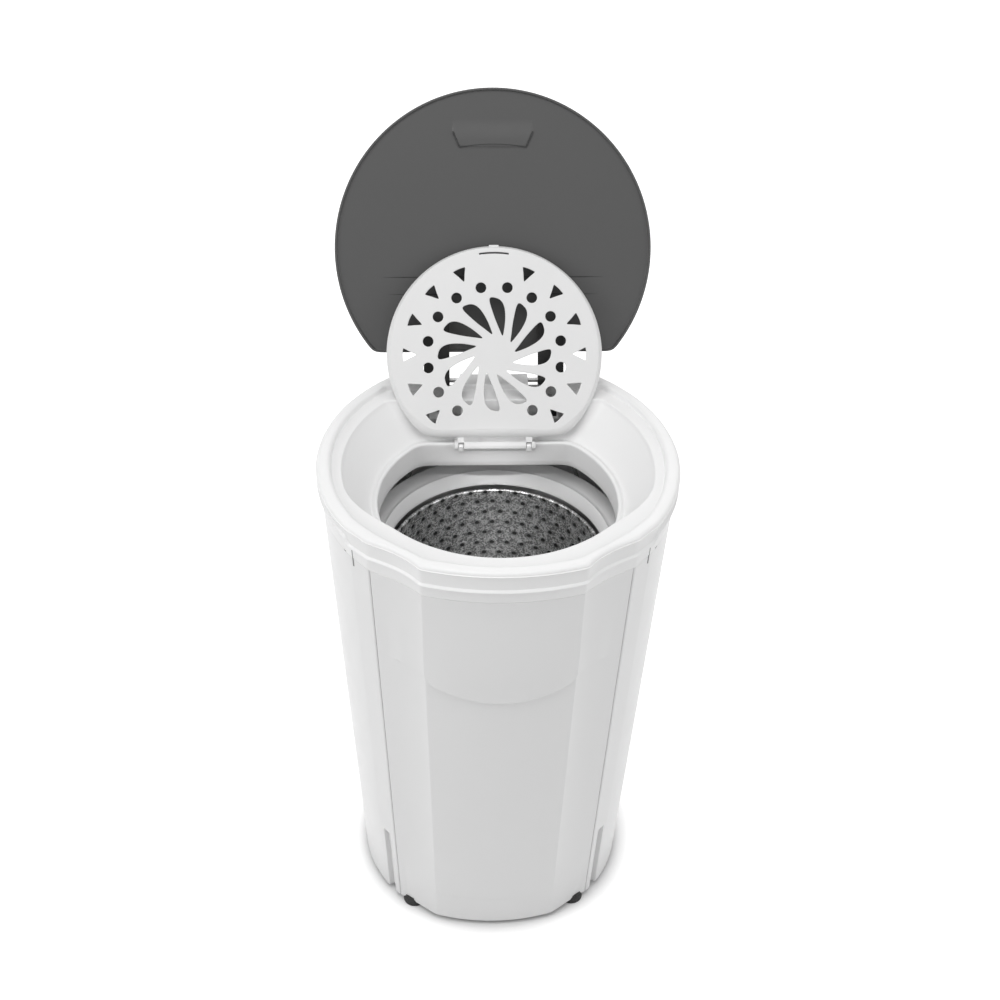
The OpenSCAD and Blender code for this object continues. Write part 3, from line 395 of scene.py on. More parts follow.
class Nodes:
    """The node tree of a material or a world. Every node comes from its method add."""

    def __init__(self, owner, empty=False):
        owner.use_nodes = True
        self.tree = owner.node_tree
        if empty:
            self.tree.nodes.clear()

    def add(self, kind, settings=None, values=(), output=0):
        """Adds a node: its settings first, then its sockets by place or by name, each a number, colour or link."""
        node = self.tree.nodes.new(kind)
        for key, value in (settings or {}).items():
            setattr(node, key, value)
        for key, value in values.items() if isinstance(values, dict) else enumerate(values):
            self.put(node.inputs[key], value)
        return Value(self, node.outputs[output]) if len(node.outputs) else None

    def put(self, socket, value):
        """Links a value to a socket, or sets it there when it is a plain number or colour."""
        if isinstance(value, Value):
            self.tree.links.new(value.socket, socket)
        else:
            socket.default_value = value

    def place(self, output="Object"):
        """The point's coordinates on the piece."""
        return self.add("ShaderNodeTexCoord", output=output)

    def noise(self, scale, detail=3.0, at=None):
        """Cloudy noise between 0 and 1."""
        return self.add("ShaderNodeTexNoise", {}, {"Vector": at or self.place(), "Scale": scale, "Detail": detail})

    def fade(self, value, low, high, to_low=0.0, to_high=1.0):
        """The value eased from one range to another."""
        return self.add("ShaderNodeMapRange", {"interpolation_type": "SMOOTHSTEP"}, [value, low, high, to_low, to_high])

    def blend(self, factor, first, second):
        """The colour between two others."""
        return self.add("ShaderNodeMix", {"data_type": "RGBA"}, {"Factor": factor, 6: first, 7: second}, output=2)

    def bump(self, height, distance, strength=1.0):
        """Normal of a surface raised by that height, with its distance in metres."""
        return self.add("ShaderNodeBump", {}, {"Strength": strength, "Distance": distance, "Height": height})

    def seen(self):
        """Factor that is 1 for camera, glossy and transmission rays."""
        camera = self.add("ShaderNodeLightPath", output="Is Camera Ray")
        either = camera.math("MAXIMUM", camera.also("Is Glossy Ray"))
        return either.math("MAXIMUM", camera.also("Is Transmission Ray"))


class Shader(Nodes):
    """A material with one Principled surface."""

    def __init__(self, name, **fixed):
        self.material = bpy.data.materials.new(name)
        super().__init__(self.material)
        self.surface = self.tree.nodes["Principled BSDF"]
        for key, value in fixed.items():
            self.surface.inputs[key.replace("_", " ")].default_value = value

    def finish(self, **links):
        """Links the varying inputs of the surface."""
        for key, value in links.items():
            self.put(self.surface.inputs[key.replace("_", " ")], value)
        return self.material


def grey(value):
    """A neutral colour of that brightness."""
    return (value, value, value, 1.0)


def darker(colour, share):
    """A colour darkened by that share."""
    return tuple(c * (1 - share) for c in colour[:3]) + (1.0,)


def moulded_plastic(name, colour, roughness, grain=0.00003, spread=0.03):
    """Moulded plastic: fine pebbled skin, slow drift of shade and small changes of gloss."""
    s = Shader(name, IOR=1.49)
    return coloured_skin(s, colour, spread, 9.0, (60.0, roughness, 0.04), (900.0, 2.0, grain, 0.5))


def painted_steel(name, colour, roughness):
    """Sprayed enamel on sheet: glossy with a shallow orange-peel skin."""
    s = Shader(name, IOR=1.5)
    return coloured_skin(s, colour, 0.025, 5.0, (40.0, roughness, 0.03), (350.0, 1.0, 0.00004, 0.35))


def coloured_skin(s, colour, spread, drift, gloss, grain):
    """Drifting shade, gloss as (scale, roughness, change) and bumps as (scale, detail, height, strength)."""
    (gloss_scale, roughness, change), (scale, detail, height, strength) = gloss, grain
    return s.finish(Base_Color=s.blend(s.noise(drift, 2.0), darker(colour, spread), colour),
                    Roughness=s.fade(s.noise(gloss_scale), 0.3, 0.7, roughness - change, roughness + change),
                    Normal=s.bump(s.noise(scale, detail), height, strength))


def rubber(name, brightness):
    """Matt rubber with a dusty bloom."""
    s = Shader(name, IOR=1.5)
    bloom = s.noise(70.0, 4.0)
    return s.finish(Base_Color=s.blend(bloom, grey(brightness), grey(brightness * 1.8)),
                    Roughness=s.fade(bloom, 0.3, 0.7, 0.62, 0.82), Normal=s.bump(s.noise(600.0), 0.00005, 0.5))


def bare_metal(name, colour, roughness, streak=(1.0, 1.0, 1.0), mottle=0.12):
    """Bare metal: streaks along one way and a mottled shade."""
    s = Shader(name, Metallic=1.0)
    stretched = s.add("ShaderNodeMapping", {}, {"Vector": s.place(), "Scale": streak})
    streaks = s.noise(220.0, 3.0, stretched)
    return s.finish(Base_Color=s.blend(s.noise(45.0, 4.0), darker(colour, mottle), colour),
                    Roughness=s.fade(streaks, 0.25, 0.75, roughness * 0.75, roughness * 1.3),
                    Normal=s.bump(streaks, 0.00002, 0.4))


def copper_winding(name):
    """Enamelled copper wire laid side by side in bands. The copper is painted darker in the bump's grooves between
    the turns, as painted shade.
    """
    s = Shader(name, Metallic=0.85)
    lines = s.add("ShaderNodeTexWave", {"bands_direction": "Z"},
                  {"Vector": s.place(), "Scale": 260.0, "Distortion": 0.6, "Detail": 2.0}, output=1)
    # Painted shade: the dark copper colour lies in the grooves between the turns.
    return s.finish(Base_Color=s.blend(lines, (0.16, 0.07, 0.035, 1), (0.55, 0.26, 0.12, 1)),
                    Roughness=s.fade(lines, 0.0, 1.0, 0.5, 0.32), Normal=s.bump(lines, 0.0002, 0.6))


def drum_steel(name):
    """Mottled stainless steel, pressed into staggered dimples. Each dimple's dished ring is painted darker as
    painted shade, and the perforation in its middle is painted near black and matt, as painted shade for the gap
    seen through it. The piece's UV map counts the dimples round and up."""
    s = Shader(name)
    across = s.add("ShaderNodeSeparateXYZ", {}, [s.place("UV")])
    up = across.also(1)
    row = up.math("FLOOR")
    shift = (row * 0.5).math("FRACT")
    dx = (across + shift).math("FRACT") - 0.5
    dy = up.math("FRACT") - 0.5
    away = (dx * dx + dy * dy * 0.85).math("SQRT")
    # Painted shade: each perforation is painted near black for the gap seen through it.
    hole_shade = s.fade(away, HOLE_OUT - 0.04, HOLE_OUT, 1.0, 0.0)
    ring = s.fade(away, HOLE_OUT, DIMPLE_OUT, 1.0, 0.0)
    cloud = s.noise(140.0, 5.0)
    speck = s.noise(420.0, 3.0)
    plain = s.blend(s.fade(cloud * 0.35 + speck * 0.65, 0.42, 0.58), grey(0.30), grey(1.0))
    # Painted shade: the dished ring of each dimple is darkened.
    shaded_dimples = s.blend(ring * 0.7, plain, grey(0.24))
    return s.finish(Base_Color=s.blend(hole_shade, shaded_dimples, grey(0.012)),
                    Roughness=s.fade(speck, 0.4, 0.6, 0.52, 0.36) + hole_shade * 0.3,
                    Metallic=0.85 - hole_shade * 0.85, Normal=s.bump(speck, 0.0004, 0.8))


# --- Settings

def colour_setting(name, text, brightness):
    """A colour setting of a property group, neutral by default."""
    return bpy.props.FloatVectorProperty(name=name, description=text, default=grey(brightness), size=4,
                                         subtype="COLOR", min=0.0, max=1.0)


def power_setting(name, text, default):
    """A lamp's power or another strength as a setting."""
    return bpy.props.FloatProperty(name=name, description=text, default=default, min=0.0)


def length_setting(name, text, default):
    """A length setting of a property group, in metres."""
    return bpy.props.FloatProperty(name=name, description=text, default=default, unit="LENGTH", min=0.0)


class CabinetSettings(bpy.types.PropertyGroup):
    """Sizes and colours of the cabinet."""

    paint: colour_setting("Paint", "Colour of the painted sheets", 0.80)
    plastic: colour_setting("Plastic", "Colour of the moulded top", 0.88)
    rim_round: length_setting("Rim rounding", "Rounding of the rim's outer edge", 0.0045)
    field_step: length_setting("Field step", "How far the front's upper field stands proud", 0.0044)
    bead_rise: length_setting("Bead rise", "How far the rounded lip of the loading opening stands up", 0.002)


class LidSettings(bpy.types.PropertyGroup):
    """Sizes and colours of the two lids."""

    outer: colour_setting("Outer lid", "Colour of the outer lid", 0.070)
    inner: colour_setting("Inner lid", "Colour of the perforated inner lid", 0.78)
    edge_round: length_setting("Edge rounding", "Rounding of the lids' edges", 0.0012)
    vent_radius: length_setting("Vent radius", "Radius of the round holes in the inner lid", 0.0065)


class DrumSettings(bpy.types.PropertyGroup):
    """Sizes of the steel drum."""

    dimples_round: bpy.props.IntProperty(name="Dimples round", description="Dimples in each row", default=42, min=12)
    dimple_rows: bpy.props.IntProperty(name="Dimple rows", description="Rows of dimples", default=16, min=2)
    dimple_depth: length_setting("Dimple depth", "Depth of the pressed dimples", 0.0022)
    bead_radius: length_setting("Bead radius", "Radius of the rolled bead round the rim", 0.0024)


class StudioSettings(bpy.types.PropertyGroup):
    """Light and floor."""

    sky: power_setting("Sky", "Strength of the light from all round", 0.53)
    key: power_setting("Key", "Power of the large lamp", 26.3)
    drum_lamp: power_setting("Drum lamp", "Power of the narrow lamp into the drum", 300.0)
    floor: colour_setting("Floor", "Colour of the floor", 0.72)


def settings(name):
    """A property group of the scene."""
    return getattr(bpy.context.scene, name)


# --- Cabinet

def sheet_radius(angles, heights, step=0.0):
    """Outer radius of the painted sheets on a grid of heights by angles: the tapered outline, rolled in at the two
    upright seams, and on the front the upper field raised by a slanted step above a line that bows down."""
    roll = 1.0 - ease((off_line(angles, SEAM_AT) - 0.15) / 0.5)
    plain = ease((PLAIN_Z - heights) / 60)[:, None]
    outline = sample(SHEETS, angles) * (1 - plain) + sample(np.maximum(BODY, SHEETS), angles) * plain - roll
    radius = outline * (taper_at(heights) * inset(PANEL_INSET))[:, None]
    if step:
        x = radius * np.sin(angles)
        middle = np.clip(1 - (x / FIELD_HALF) ** 2, 0, 1)
        edge = FIELD_Z - FIELD_SAG * middle + 9 * ease((np.abs(x) - 80) / 12)
        proud = step * (1 - 0.55 * ease((np.abs(x) - 60) / 40)) * (1 - ease((np.abs(x) - 112) / 20))
        proud = proud * (1 - ease((heights - FIELD_END) / 125))[:, None]
        radius = radius + proud * np.clip((heights[:, None] - edge) / (2.0 + 2.2 * middle) + 1.0, 0, 1) ** 2
    return radius


def sheet(angles, heights, radius, wall):
    """Closed sheet: the outer skin from foot to top, then the inner skin back down, with small rounded edges and both
    upright ends filled."""
    edge = 0.45
    lifts = np.concatenate([[heights[0]], heights, [heights[-1]], [heights[-1]], heights[::-1], [heights[0]]])
    outer = np.concatenate([radius[:1] - edge, radius, radius[-1:] - edge])
    inner = np.concatenate([radius[-1:] - wall + edge, radius[::-1] - wall, radius[:1] - wall + edge])
    loop = np.concatenate([outer, inner])
    n = len(loop)
    lifts[1], lifts[len(heights)] = heights[0] + edge, heights[-1] - edge
    lifts[len(heights) + 3], lifts[-2] = heights[-1] - edge, heights[0] + edge
    quads = grid_quads(n, len(angles), around_rows=True, around_columns=False)
    start = strips(n) * len(angles)
    end = start[:, ::-1] + len(angles) - 1
    return solid(rings(loop, angles, lifts), np.concatenate([quads, start, end]))


def lines_between(*stretches):
    """Grid lines: stretches of (from, to, spacing) joined and sorted."""
    lines = [np.linspace(a, b, max(2, int(round(abs(b - a) / s)) + 1)) for a, b, s in stretches]
    return np.unique(np.round(np.concatenate(lines), 4))


class FrontSheet(bpy.types.Operator):
    """Painted front sheet: bowed middle between two ridges, chamfered corners and a raised upper field."""

    bl_idname = "spin_dryer.front_sheet"
    bl_label = "Front sheet"

    def execute(self, context):
        end = SEAM_AT - SEAM_GAP
        angles = np.radians(lines_between((-end, end, 0.5), (-28, -25, 0.25), (25, 28, 0.25), (-end, -45.6, 0.1),
                                          (45.6, end, 0.1)))
        heights = lines_between((PANEL_FOOT, 430, 9), (430, 485, 0.8), (485, PANEL_TOP, 9), (52, 60, 1.5))
        radius = sheet_radius(angles, heights, settings("spin_cabinet").field_step / MM)
        low_field = ease((heights - LOW_FIELD_Z) / 3)[:, None]
        radius = radius + 0.35 * (low_field - 1) * (np.abs(np.degrees(angles)) < 27)
        new_piece("front_sheet", sheet(angles, heights, radius, PANEL_WALL), "root", "paint",
                  ["front_panel"])
        return {"FINISHED"}


class WrapSheet(bpy.types.Operator):
    """Painted sheet round the sides and the back, with a pressed relief at each side of the foot."""

    bl_idname = "spin_dryer.wrap_sheet"
    bl_label = "Wrap-round sheet"

    def execute(self, context):
        start = SEAM_AT + SEAM_GAP
        angles = np.radians(lines_between((start, 360 - start, 1.2), (48, 56, 0.25), (304, 312, 0.25),
                                          (start, 47.6, 0.1), (312.4, 360 - start, 0.1)))
        heights = lines_between((PANEL_FOOT, PANEL_TOP, 9), (118, 134, 1.0))
        radius = sheet_radius(angles, heights)
        off = off_line(angles, RELIEF_AT)[None] * np.pi / 180 * radius
        inside = ease((6.4 - off) / 1.2) * ease((RELIEF_TOP + 3 - heights[:, None]) / 4)
        radius = radius - RELIEF_DEEP * inside
        new_piece("wrap_sheet", sheet(angles, heights, radius, PANEL_WALL), "root", "paint",
                  ["rear_shell"])
        return {"FINISHED"}


def arc_rows(first, last, z_first, z_last, steps, bulge_out=True):
    """Rows of a quarter round between two outlines: the radius follows the sine and the height the cosine."""
    t = np.linspace(0, np.pi / 2, steps + 1)[1:]
    if bulge_out:
        return [(first + (last - first) * (1 - math.cos(a)), z_first + (z_last - z_first) * math.sin(a)) for a in t]
    return [(first + (last - first) * math.sin(a), z_first + (z_last - z_first) * (1 - math.cos(a))) for a in t]


def mouth(extra):
    """Outline of the loading opening, grown outwards, with its rear corners rounded."""
    return soften(cut_disc(MOUTH_R + extra, -MOUTH_SHIFT, MOUTH_REAR + extra), 2.6)


def top_rows():
    """Rings of the moulded top, once round its wall: lip, band, beaded skirt, rounded rim, lid seat, bowl, rolled lip
    of the loading opening, collar, and back along the underside."""
    cabinet = settings("spin_cabinet")
    rounding, rise = cabinet.rim_round / MM, cabinet.bead_rise / MM
    a = np.degrees(fine_angles())
    side = np.minimum(a, 360 - a)
    lift = BAND_LIFT * ease((side - SLIT_AT) / 3.0)

    def face(z, back=0.0):
        return SHEETS * inset(FACE_INSET) * taper_at(z) - back

    def skirt(z, out=0.0):
        return SKIRT * taper_at(z) + out

    recess = soften(np.minimum(cut_disc(RECESS_R, 0, RECESS_REAR), BODY * inset(14)), 0.8)
    seat = np.clip(cut_disc(LID_R + 0.9, LID_CENTRE_Y, 2 * LID_R), recess - 4.9, recess - 1.2)
    bowl = soften(cut_disc(BOWL_R, 0, BOWL_REAR) - BOWL_NARROW * ease((78 - side) / 34), 1.0)
    lip_out, lip_in = (SHEETS * taper_at(LIP_Z) * inset(amount) for amount in (LIP_OUT, LIP_IN))
    rows = [(lip_out - 0.7, 600.4), (lip_out, 601.2), (lip_out, 610.0), (face(611, 1.2), 610.4),
            (face(611, 0.3), 610.7), (face(612), 611.6), (face(620), 620), (face(626), 624.6 + lift * 0.6),
            (face(628), 627.6 + lift)]
    rows += [(skirt(z, out), height + lift) for z, out, height in (
        (628, 0, 627.8), (629, 0.8, 628.3), (630, 1.0, 629.2), (630, 0.8, 629.9), (631, -0.8, 631.2),
        (632, -1.8, 632.2), (635, -2.0, 635.0))]
    rows += [(skirt(645, -1.6), np.maximum(645, 642 + lift)), (skirt(650, -1.2), 651.2), (skirt(651, -0.3), 651.9),
             (skirt(652), 652.4), (skirt(653, -0.1), 653.0), (skirt(BODY_TOP, -1.3), 653.5)]
    rows += arc_rows(skirt(BODY_TOP) - 1.2, skirt(BODY_TOP) - 1.0 - rounding, BODY_TOP - rounding, BODY_TOP, 6)
    inner_edge = recess + 1.5
    rows += [((skirt(BODY_TOP) - rounding - 1.0) * 0.5 + inner_edge * 0.5, BODY_TOP), (inner_edge, BODY_TOP)]
    rows += arc_rows(inner_edge, seat + 0.5, BODY_TOP, BODY_TOP - 3.6, 5, False)
    rows += [(seat + 0.3, SEAT_Z + 1.2), (seat, SEAT_Z + 0.4), (seat - 1.0, SEAT_Z)]
    rows += [(bowl + 2.5, SEAT_Z)] + arc_rows(bowl + 2.5, bowl, SEAT_Z, SEAT_Z - 2.2, 4, False)
    foot = mouth(8.5)
    t = np.linspace(0, 1, 15)[1:]
    rows += [(bowl + (foot - bowl) * s, SEAT_Z - 2.2 + (MOUTH_Z + 0.6 - SEAT_Z + 2.2) * s**0.93) for s in t]
    rows += [(mouth(7.0), MOUTH_Z + 0.2), (mouth(6.0), MOUTH_Z + 0.5)]
    bead = np.linspace(0.15, 1.0, 7) * np.pi
    rows += [(mouth(3.0 + 3.0 * math.cos(b)), MOUTH_Z - 0.6 + (rise + 0.6) * math.sin(b)) for b in bead]
    rows += [(mouth(0), z) for z in (MOUTH_Z - 3, MOUTH_Z - 12, MOUTH_Z - 24, COLLAR_FOOT + 1.2)]
    rows += [(mouth(0.5), COLLAR_FOOT + 0.3), (mouth(1.2), COLLAR_FOOT), (mouth(2.0), COLLAR_FOOT + 0.3),
             (mouth(2.5), COLLAR_FOOT + 1.2), (mouth(2.5), MOUTH_Z - 5)]
    rows += [(mouth(8.5), MOUTH_Z - 2.4), (bowl * 0.5 + foot * 0.5 + 1.5, 623.0), (bowl + 1.5, SEAT_Z - 3.4),
             (bowl + 3.5, SEAT_Z - 2.5), (seat + 1.8, SEAT_Z - 2.5), (recess + 2.0, SEAT_Z - 1.0)]
    rows += [(recess + 2.4, BODY_TOP - 3.4), (skirt(654, -3.2), BODY_TOP - 3.6), (skirt(640, -3.4), 640.0 + lift * 0.2),
             (face(628, FACE_WALL), 628.0), (face(618, FACE_WALL), 617.0), (lip_in, 611.0), (lip_in, 601.2),
             (lip_in + 0.7, 600.4)]
    return rows


def mirrored(shape):
    """A shape and its mirror image across x = 0."""
    points, quads = shape
    return joined(shape, (points * [-1, 1, 1], quads[:, ::-1]))


class MouldedTop(bpy.types.Operator):
    """Moulded top with its rim, lid seat, bowl and loading collar, the two arm slots and the hinge bosses."""

    bl_idname = "spin_dryer.moulded_top"
    bl_label = "Moulded top"

    def execute(self, context):
        top = new_piece("moulded_top", loft(top_rows(), 640), "root", "plastic", ["top_panel"])
        above, behind = 760, 260
        for low, high in (([ARM_IN, BOWL_REAR - 16, 618], [ARM_OUT, REAR_DEPTH - 7.4, above]),
                          ([ARM_IN, BOWL_REAR, 641], [ARM_OUT, behind, above])):
            cut_by(top, new_piece("slot_cutter", mirrored(rounded_box(low, high, 1.5)), "root", "plastic"))
        finish_piece(top, "root", "plastic", ["top_panel"])
        bosses = [rounded_box([x, ROD_Y - 9, 641], [x + BOSS_WALL, ROD_Y + 5.9, 657.6], 1.0)
                  for x in (ARM_IN - BOSS_WALL, ARM_OUT)]
        bosses += [rounded_box([57, 136, 612], [81, 166, 616], 0.6),
                   rounded_box([39, 91.5, 597.5], [45, 100.5, 606.5], 1.4)]
        new_piece("hinge_bosses", mirrored(joined(*bosses)), "root", "plastic")
        return {"FINISHED"}


def turned_about_z(points, degrees):
    """Points turned about the drum axis by that many degrees."""
    return points @ np.array(Matrix.Rotation(math.radians(degrees), 3, "Z")).T


def slit_strip(radius, low, high):
    """Upright dark strip just proud of the band, painted shade for the upright slot: a thin box that leans with
    the taper.
    """
    points, quads = rounded_box([-0.9, -radius - 0.2, low], [0.9, -radius + 1.5, high], 0.5)
    points[:, 1] -= (points[:, 2] - (low + high) / 2) * (1 - TAPER) / (BODY_TOP - BODY_FOOT) * radius
    return points, quads


class BandDetails(bpy.types.Operator):
    """Small parts of the band, on each side: a thin dark strip, painted shade for the upright slot, and a dark screw
    head.
    """

    bl_idname = "spin_dryer.band_details"
    bl_label = "Band details"

    def execute(self, context):
        radius = float(sample(SHEETS, np.radians([SLIT_AT]))[0]) * inset(FACE_INSET)
        strip = slit_strip(radius * taper_at(612), SLIT_FOOT, SLIT_TOP)
        head = revolve([(0, 0.0), (1.2, 0.0), (1.9, 0.35), (2.4, 0.35), (2.7, 0.0), (2.7, -1.5), (0, -1.5)], 40)
        flat = head[0] @ np.array([[1, 0, 0], [0, 0, 1], [0, -1, 0]], float)
        flat = flat + [0, -radius * taper_at(SCREW_Z) - 0.1, SCREW_Z]
        strips_round = [(turned_about_z(strip[0], SLIT_AT * side), strip[1]) for side in (-1, 1)]
        heads = [solid(turned_about_z(flat, SCREW_AT * side), head[1]) for side in (-1, 1)]
        # Painted shade: grey strips for the shade inside the upright slots.
        new_piece("slot_shade_strips", joined(*strips_round), "root", "grey")
        new_piece("side_screw_heads", joined(*heads), "root", "shadow", ["side_screws"])
        return {"FINISHED"}


# --- Lids

GRIP = np.array([[-49.4, -200], [-49.4, -137.3], [-40.9, -118], [40.9, -118], [49.4, -137.3], [49.4, -200]])


def inside_by(points, corners):
    """How far points lie inside a convex outline: the least distance to its edges, negative outside."""
    after = np.roll(corners, -1, 0)
    edge = after - corners
    normal = np.stack([edge[:, 1], -edge[:, 0]], -1) / np.linalg.norm(edge, axis=1, keepdims=True)
    if (normal[0] * (corners.mean(0) - corners[0])).sum() < 0:
        normal = -normal
    return ((points[..., None, :] - corners) * normal).sum(-1).min(-1)


def plate(radius, profile, angles, centre_y):
    """Plate about (0, centre_y): each row of the profile is (share of the outline, set-back, height); the first and
    last rows close in the middle."""
    share, back, height = (np.array(c)[:, None] for c in zip(*profile))
    return rings(np.maximum(sample(radius, angles) * share - back, 0.0), angles, height, centre_y)


def close_plate(points):
    """The plate as a closed shape: its first and last rings are filled with strips that run straight across."""
    rows, columns = points.shape[:2]
    first = strips(columns)
    last = first[:, ::-1] + (rows - 1) * columns
    return solid(points, np.concatenate([grid_quads(rows, columns), first, last]))


class OuterLid(bpy.types.Operator):
    """Outer lid: dark plate with a turned-down edge and the pocket of a finger grip, standing open."""

    bl_idname = "spin_dryer.outer_lid"
    bl_label = "Outer lid"

    def execute(self, context):
        e = settings("spin_lids").edge_round / MM
        outline = soften(cut_disc(LID_R, 0, LID_CHORD_Y - LID_CENTRE_Y), 1.2)
        shares = np.concatenate([np.linspace(0.06, 0.55, 8)[:-1], np.linspace(0.55, 1.0, 64)[:-1]])
        profile = [(s, LID_BACK * s, LID_UNDER) for s in shares]
        profile += [(1, LID_BACK, LID_UNDER), (1, 3.4, LID_UNDER - 0.3), (1, 3.0, LID_UNDER - 1.1),
                    (1, 2.8, LID_FOOT + 0.5), (1, 2.3, LID_FOOT), (1, 0.8, LID_FOOT), (1, 0.2, LID_FOOT + 0.3),
                    (1, 0, LID_FOOT + 0.9), (1, 0, LID_TOP - e), (1, e * 0.3, LID_TOP - e * 0.3), (1, e, LID_TOP)]
        profile += [(s, LID_BACK * s, LID_TOP) for s in shares[::-1]]
        angles = np.radians(lines_between((-24, 24, 0.25), (24, 336, 1.2))[:-1])
        points = plate(outline, profile, angles, LID_CENTRE_Y)
        pocket = ease((inside_by(points[..., :2], GRIP) + 0.6) / 2.0)
        upper = points[..., 2] > LID_UNDER + 0.2
        flat = points[..., 2] > LID_UNDER - 0.01
        deep = np.where(upper, 1.0, ease((points[..., 1] + 152) / 26))
        points[..., 2] -= GRIP_DEPTH * pocket * flat * deep
        shape = swing(close_plate(points), ROD_Y, HINGE_Z, LID_OPEN)
        new_piece("lid_plate", shape, "lid", "lid", ["outer_lid"], sharp=50)
        self.ridges()
        return {"FINISHED"}

    def ridges(self):
        """Thin raised near-black lines on the lid's underside, painted shade for its grooves and for the shaded wall
        round
        the grip: two straight ones and the outline of the grip.
        """
        up = np.array([0, 0, 1.0])
        z = LID_UNDER - 0.05
        shapes = []
        for y, half in ((40.5, 137), (61.5, 130)):
            path = [[x, y, z] for x in np.linspace(-half, half, 12)]
            shapes.append(tube_on_plane(path, up, 0.55, 6))
        t = np.linspace(0, 1, 14)
        legs = [GRIP[k] + (GRIP[k + 1] - GRIP[k]) * t[:, None] for k in (1, 2, 3)]
        path = np.concatenate([legs[0], legs[1][1:], legs[2][1:]])
        path[:, 1] -= 3.5 * np.maximum(1 - (path[:, 0] / 40.9) ** 2, 0)
        path = np.column_stack([path, np.full(len(path), z - 1.3)])
        shapes.append(tube_on_plane(path, up, 0.9, 8))
        shape = swing(joined(*shapes), ROD_Y, HINGE_Z, LID_OPEN)
        # Painted shade: near-black lines for the shade in the lid's grooves and round the grip.
        new_piece("lid_groove_shade_lines", shape, "lid", "shadow")


def ring_points(radius, count, centre):
    """Points of a circle."""
    a = np.arange(count) * TURN / count
    return np.stack([centre[0] + radius * np.cos(a), centre[1] + radius * np.sin(a)], -1)


def smooth_loop(points, steps):
    """Closed curve through the points: between neighbours it follows the cubic whose slopes are half the chord
    between the points on either side."""
    p0, p1, p2, p3 = (np.roll(points, k, 0)[:, None] for k in (1, 0, -1, -2))
    t = np.arange(steps)[None, :, None] / steps
    return (0.5 * (2 * p1 + (p2 - p0) * t + (2 * p0 - 5 * p1 + 4 * p2 - p3) * t**2
                   + (3 * p1 - p0 - 3 * p2 + p3) * t**3)).reshape(-1, 2)


def turned(points, degrees):
    """Flat points turned clockwise as seen with the front downwards."""
    a = math.radians(degrees)
    return points @ np.array([[math.cos(a), math.sin(a)], [-math.sin(a), math.cos(a)]])


def inner_lid_holes(vent_r):
    """Outlines of the inner lid's holes about its middle: a ring of round ones, a ring of triangles that point
    inwards, twelve leaves round the plain centre, and a slit near the front edge."""
    pitch = 22.5
    loops = [ring_points(vent_r, 28, polar(83.0, np.array((k + 0.5) * pitch))) for k in range(-7, 7)]
    corner = np.array([[-8.3, -112.3], [8.3, -112.3], [0, -95.6]])
    before, after = np.roll(corner, 1, 0), np.roll(corner, -1, 0)
    trio = np.stack([corner + (before - corner) * 0.16, corner + (corner.mean(0) - corner) * 0.08,
                     corner + (after - corner) * 0.16, (corner + after) / 2 * [1, 1.004]], 1).reshape(-1, 2)
    loops += [turned(smooth_loop(trio, 3), k * pitch) for k in range(-6, 7) if k]
    leaf = np.array([[-5.7, -67.9], [3.5, -68.5], [9.8, -63.6], [12.9, -54.8], [13.3, -42.1], [11.7, -29.4],
                     [9.8, -22.9], [5.9, -31.3], [-1, -48.9]])
    loops += [turned(smooth_loop(leaf, 5), k * 30) for k in range(12)]
    arc = np.radians(np.linspace(-8.4, 8.4, 14))
    sides = ((125.0, arc), (123.0, arc[::-1]))
    return loops + [np.concatenate([np.stack([r * np.sin(o), -r * np.cos(o)], -1) for r, o in sides])]


def slant(angles):
    """How far the inner lid's edge leans in from its upper rim to its foot: most along the hinge, least in front."""
    rear = -np.cos(angles)
    return 2.2 + 2.4 * ease((rear + 1.0) / 1.1) + 5.0 * ease((rear - 0.45) / 0.35)


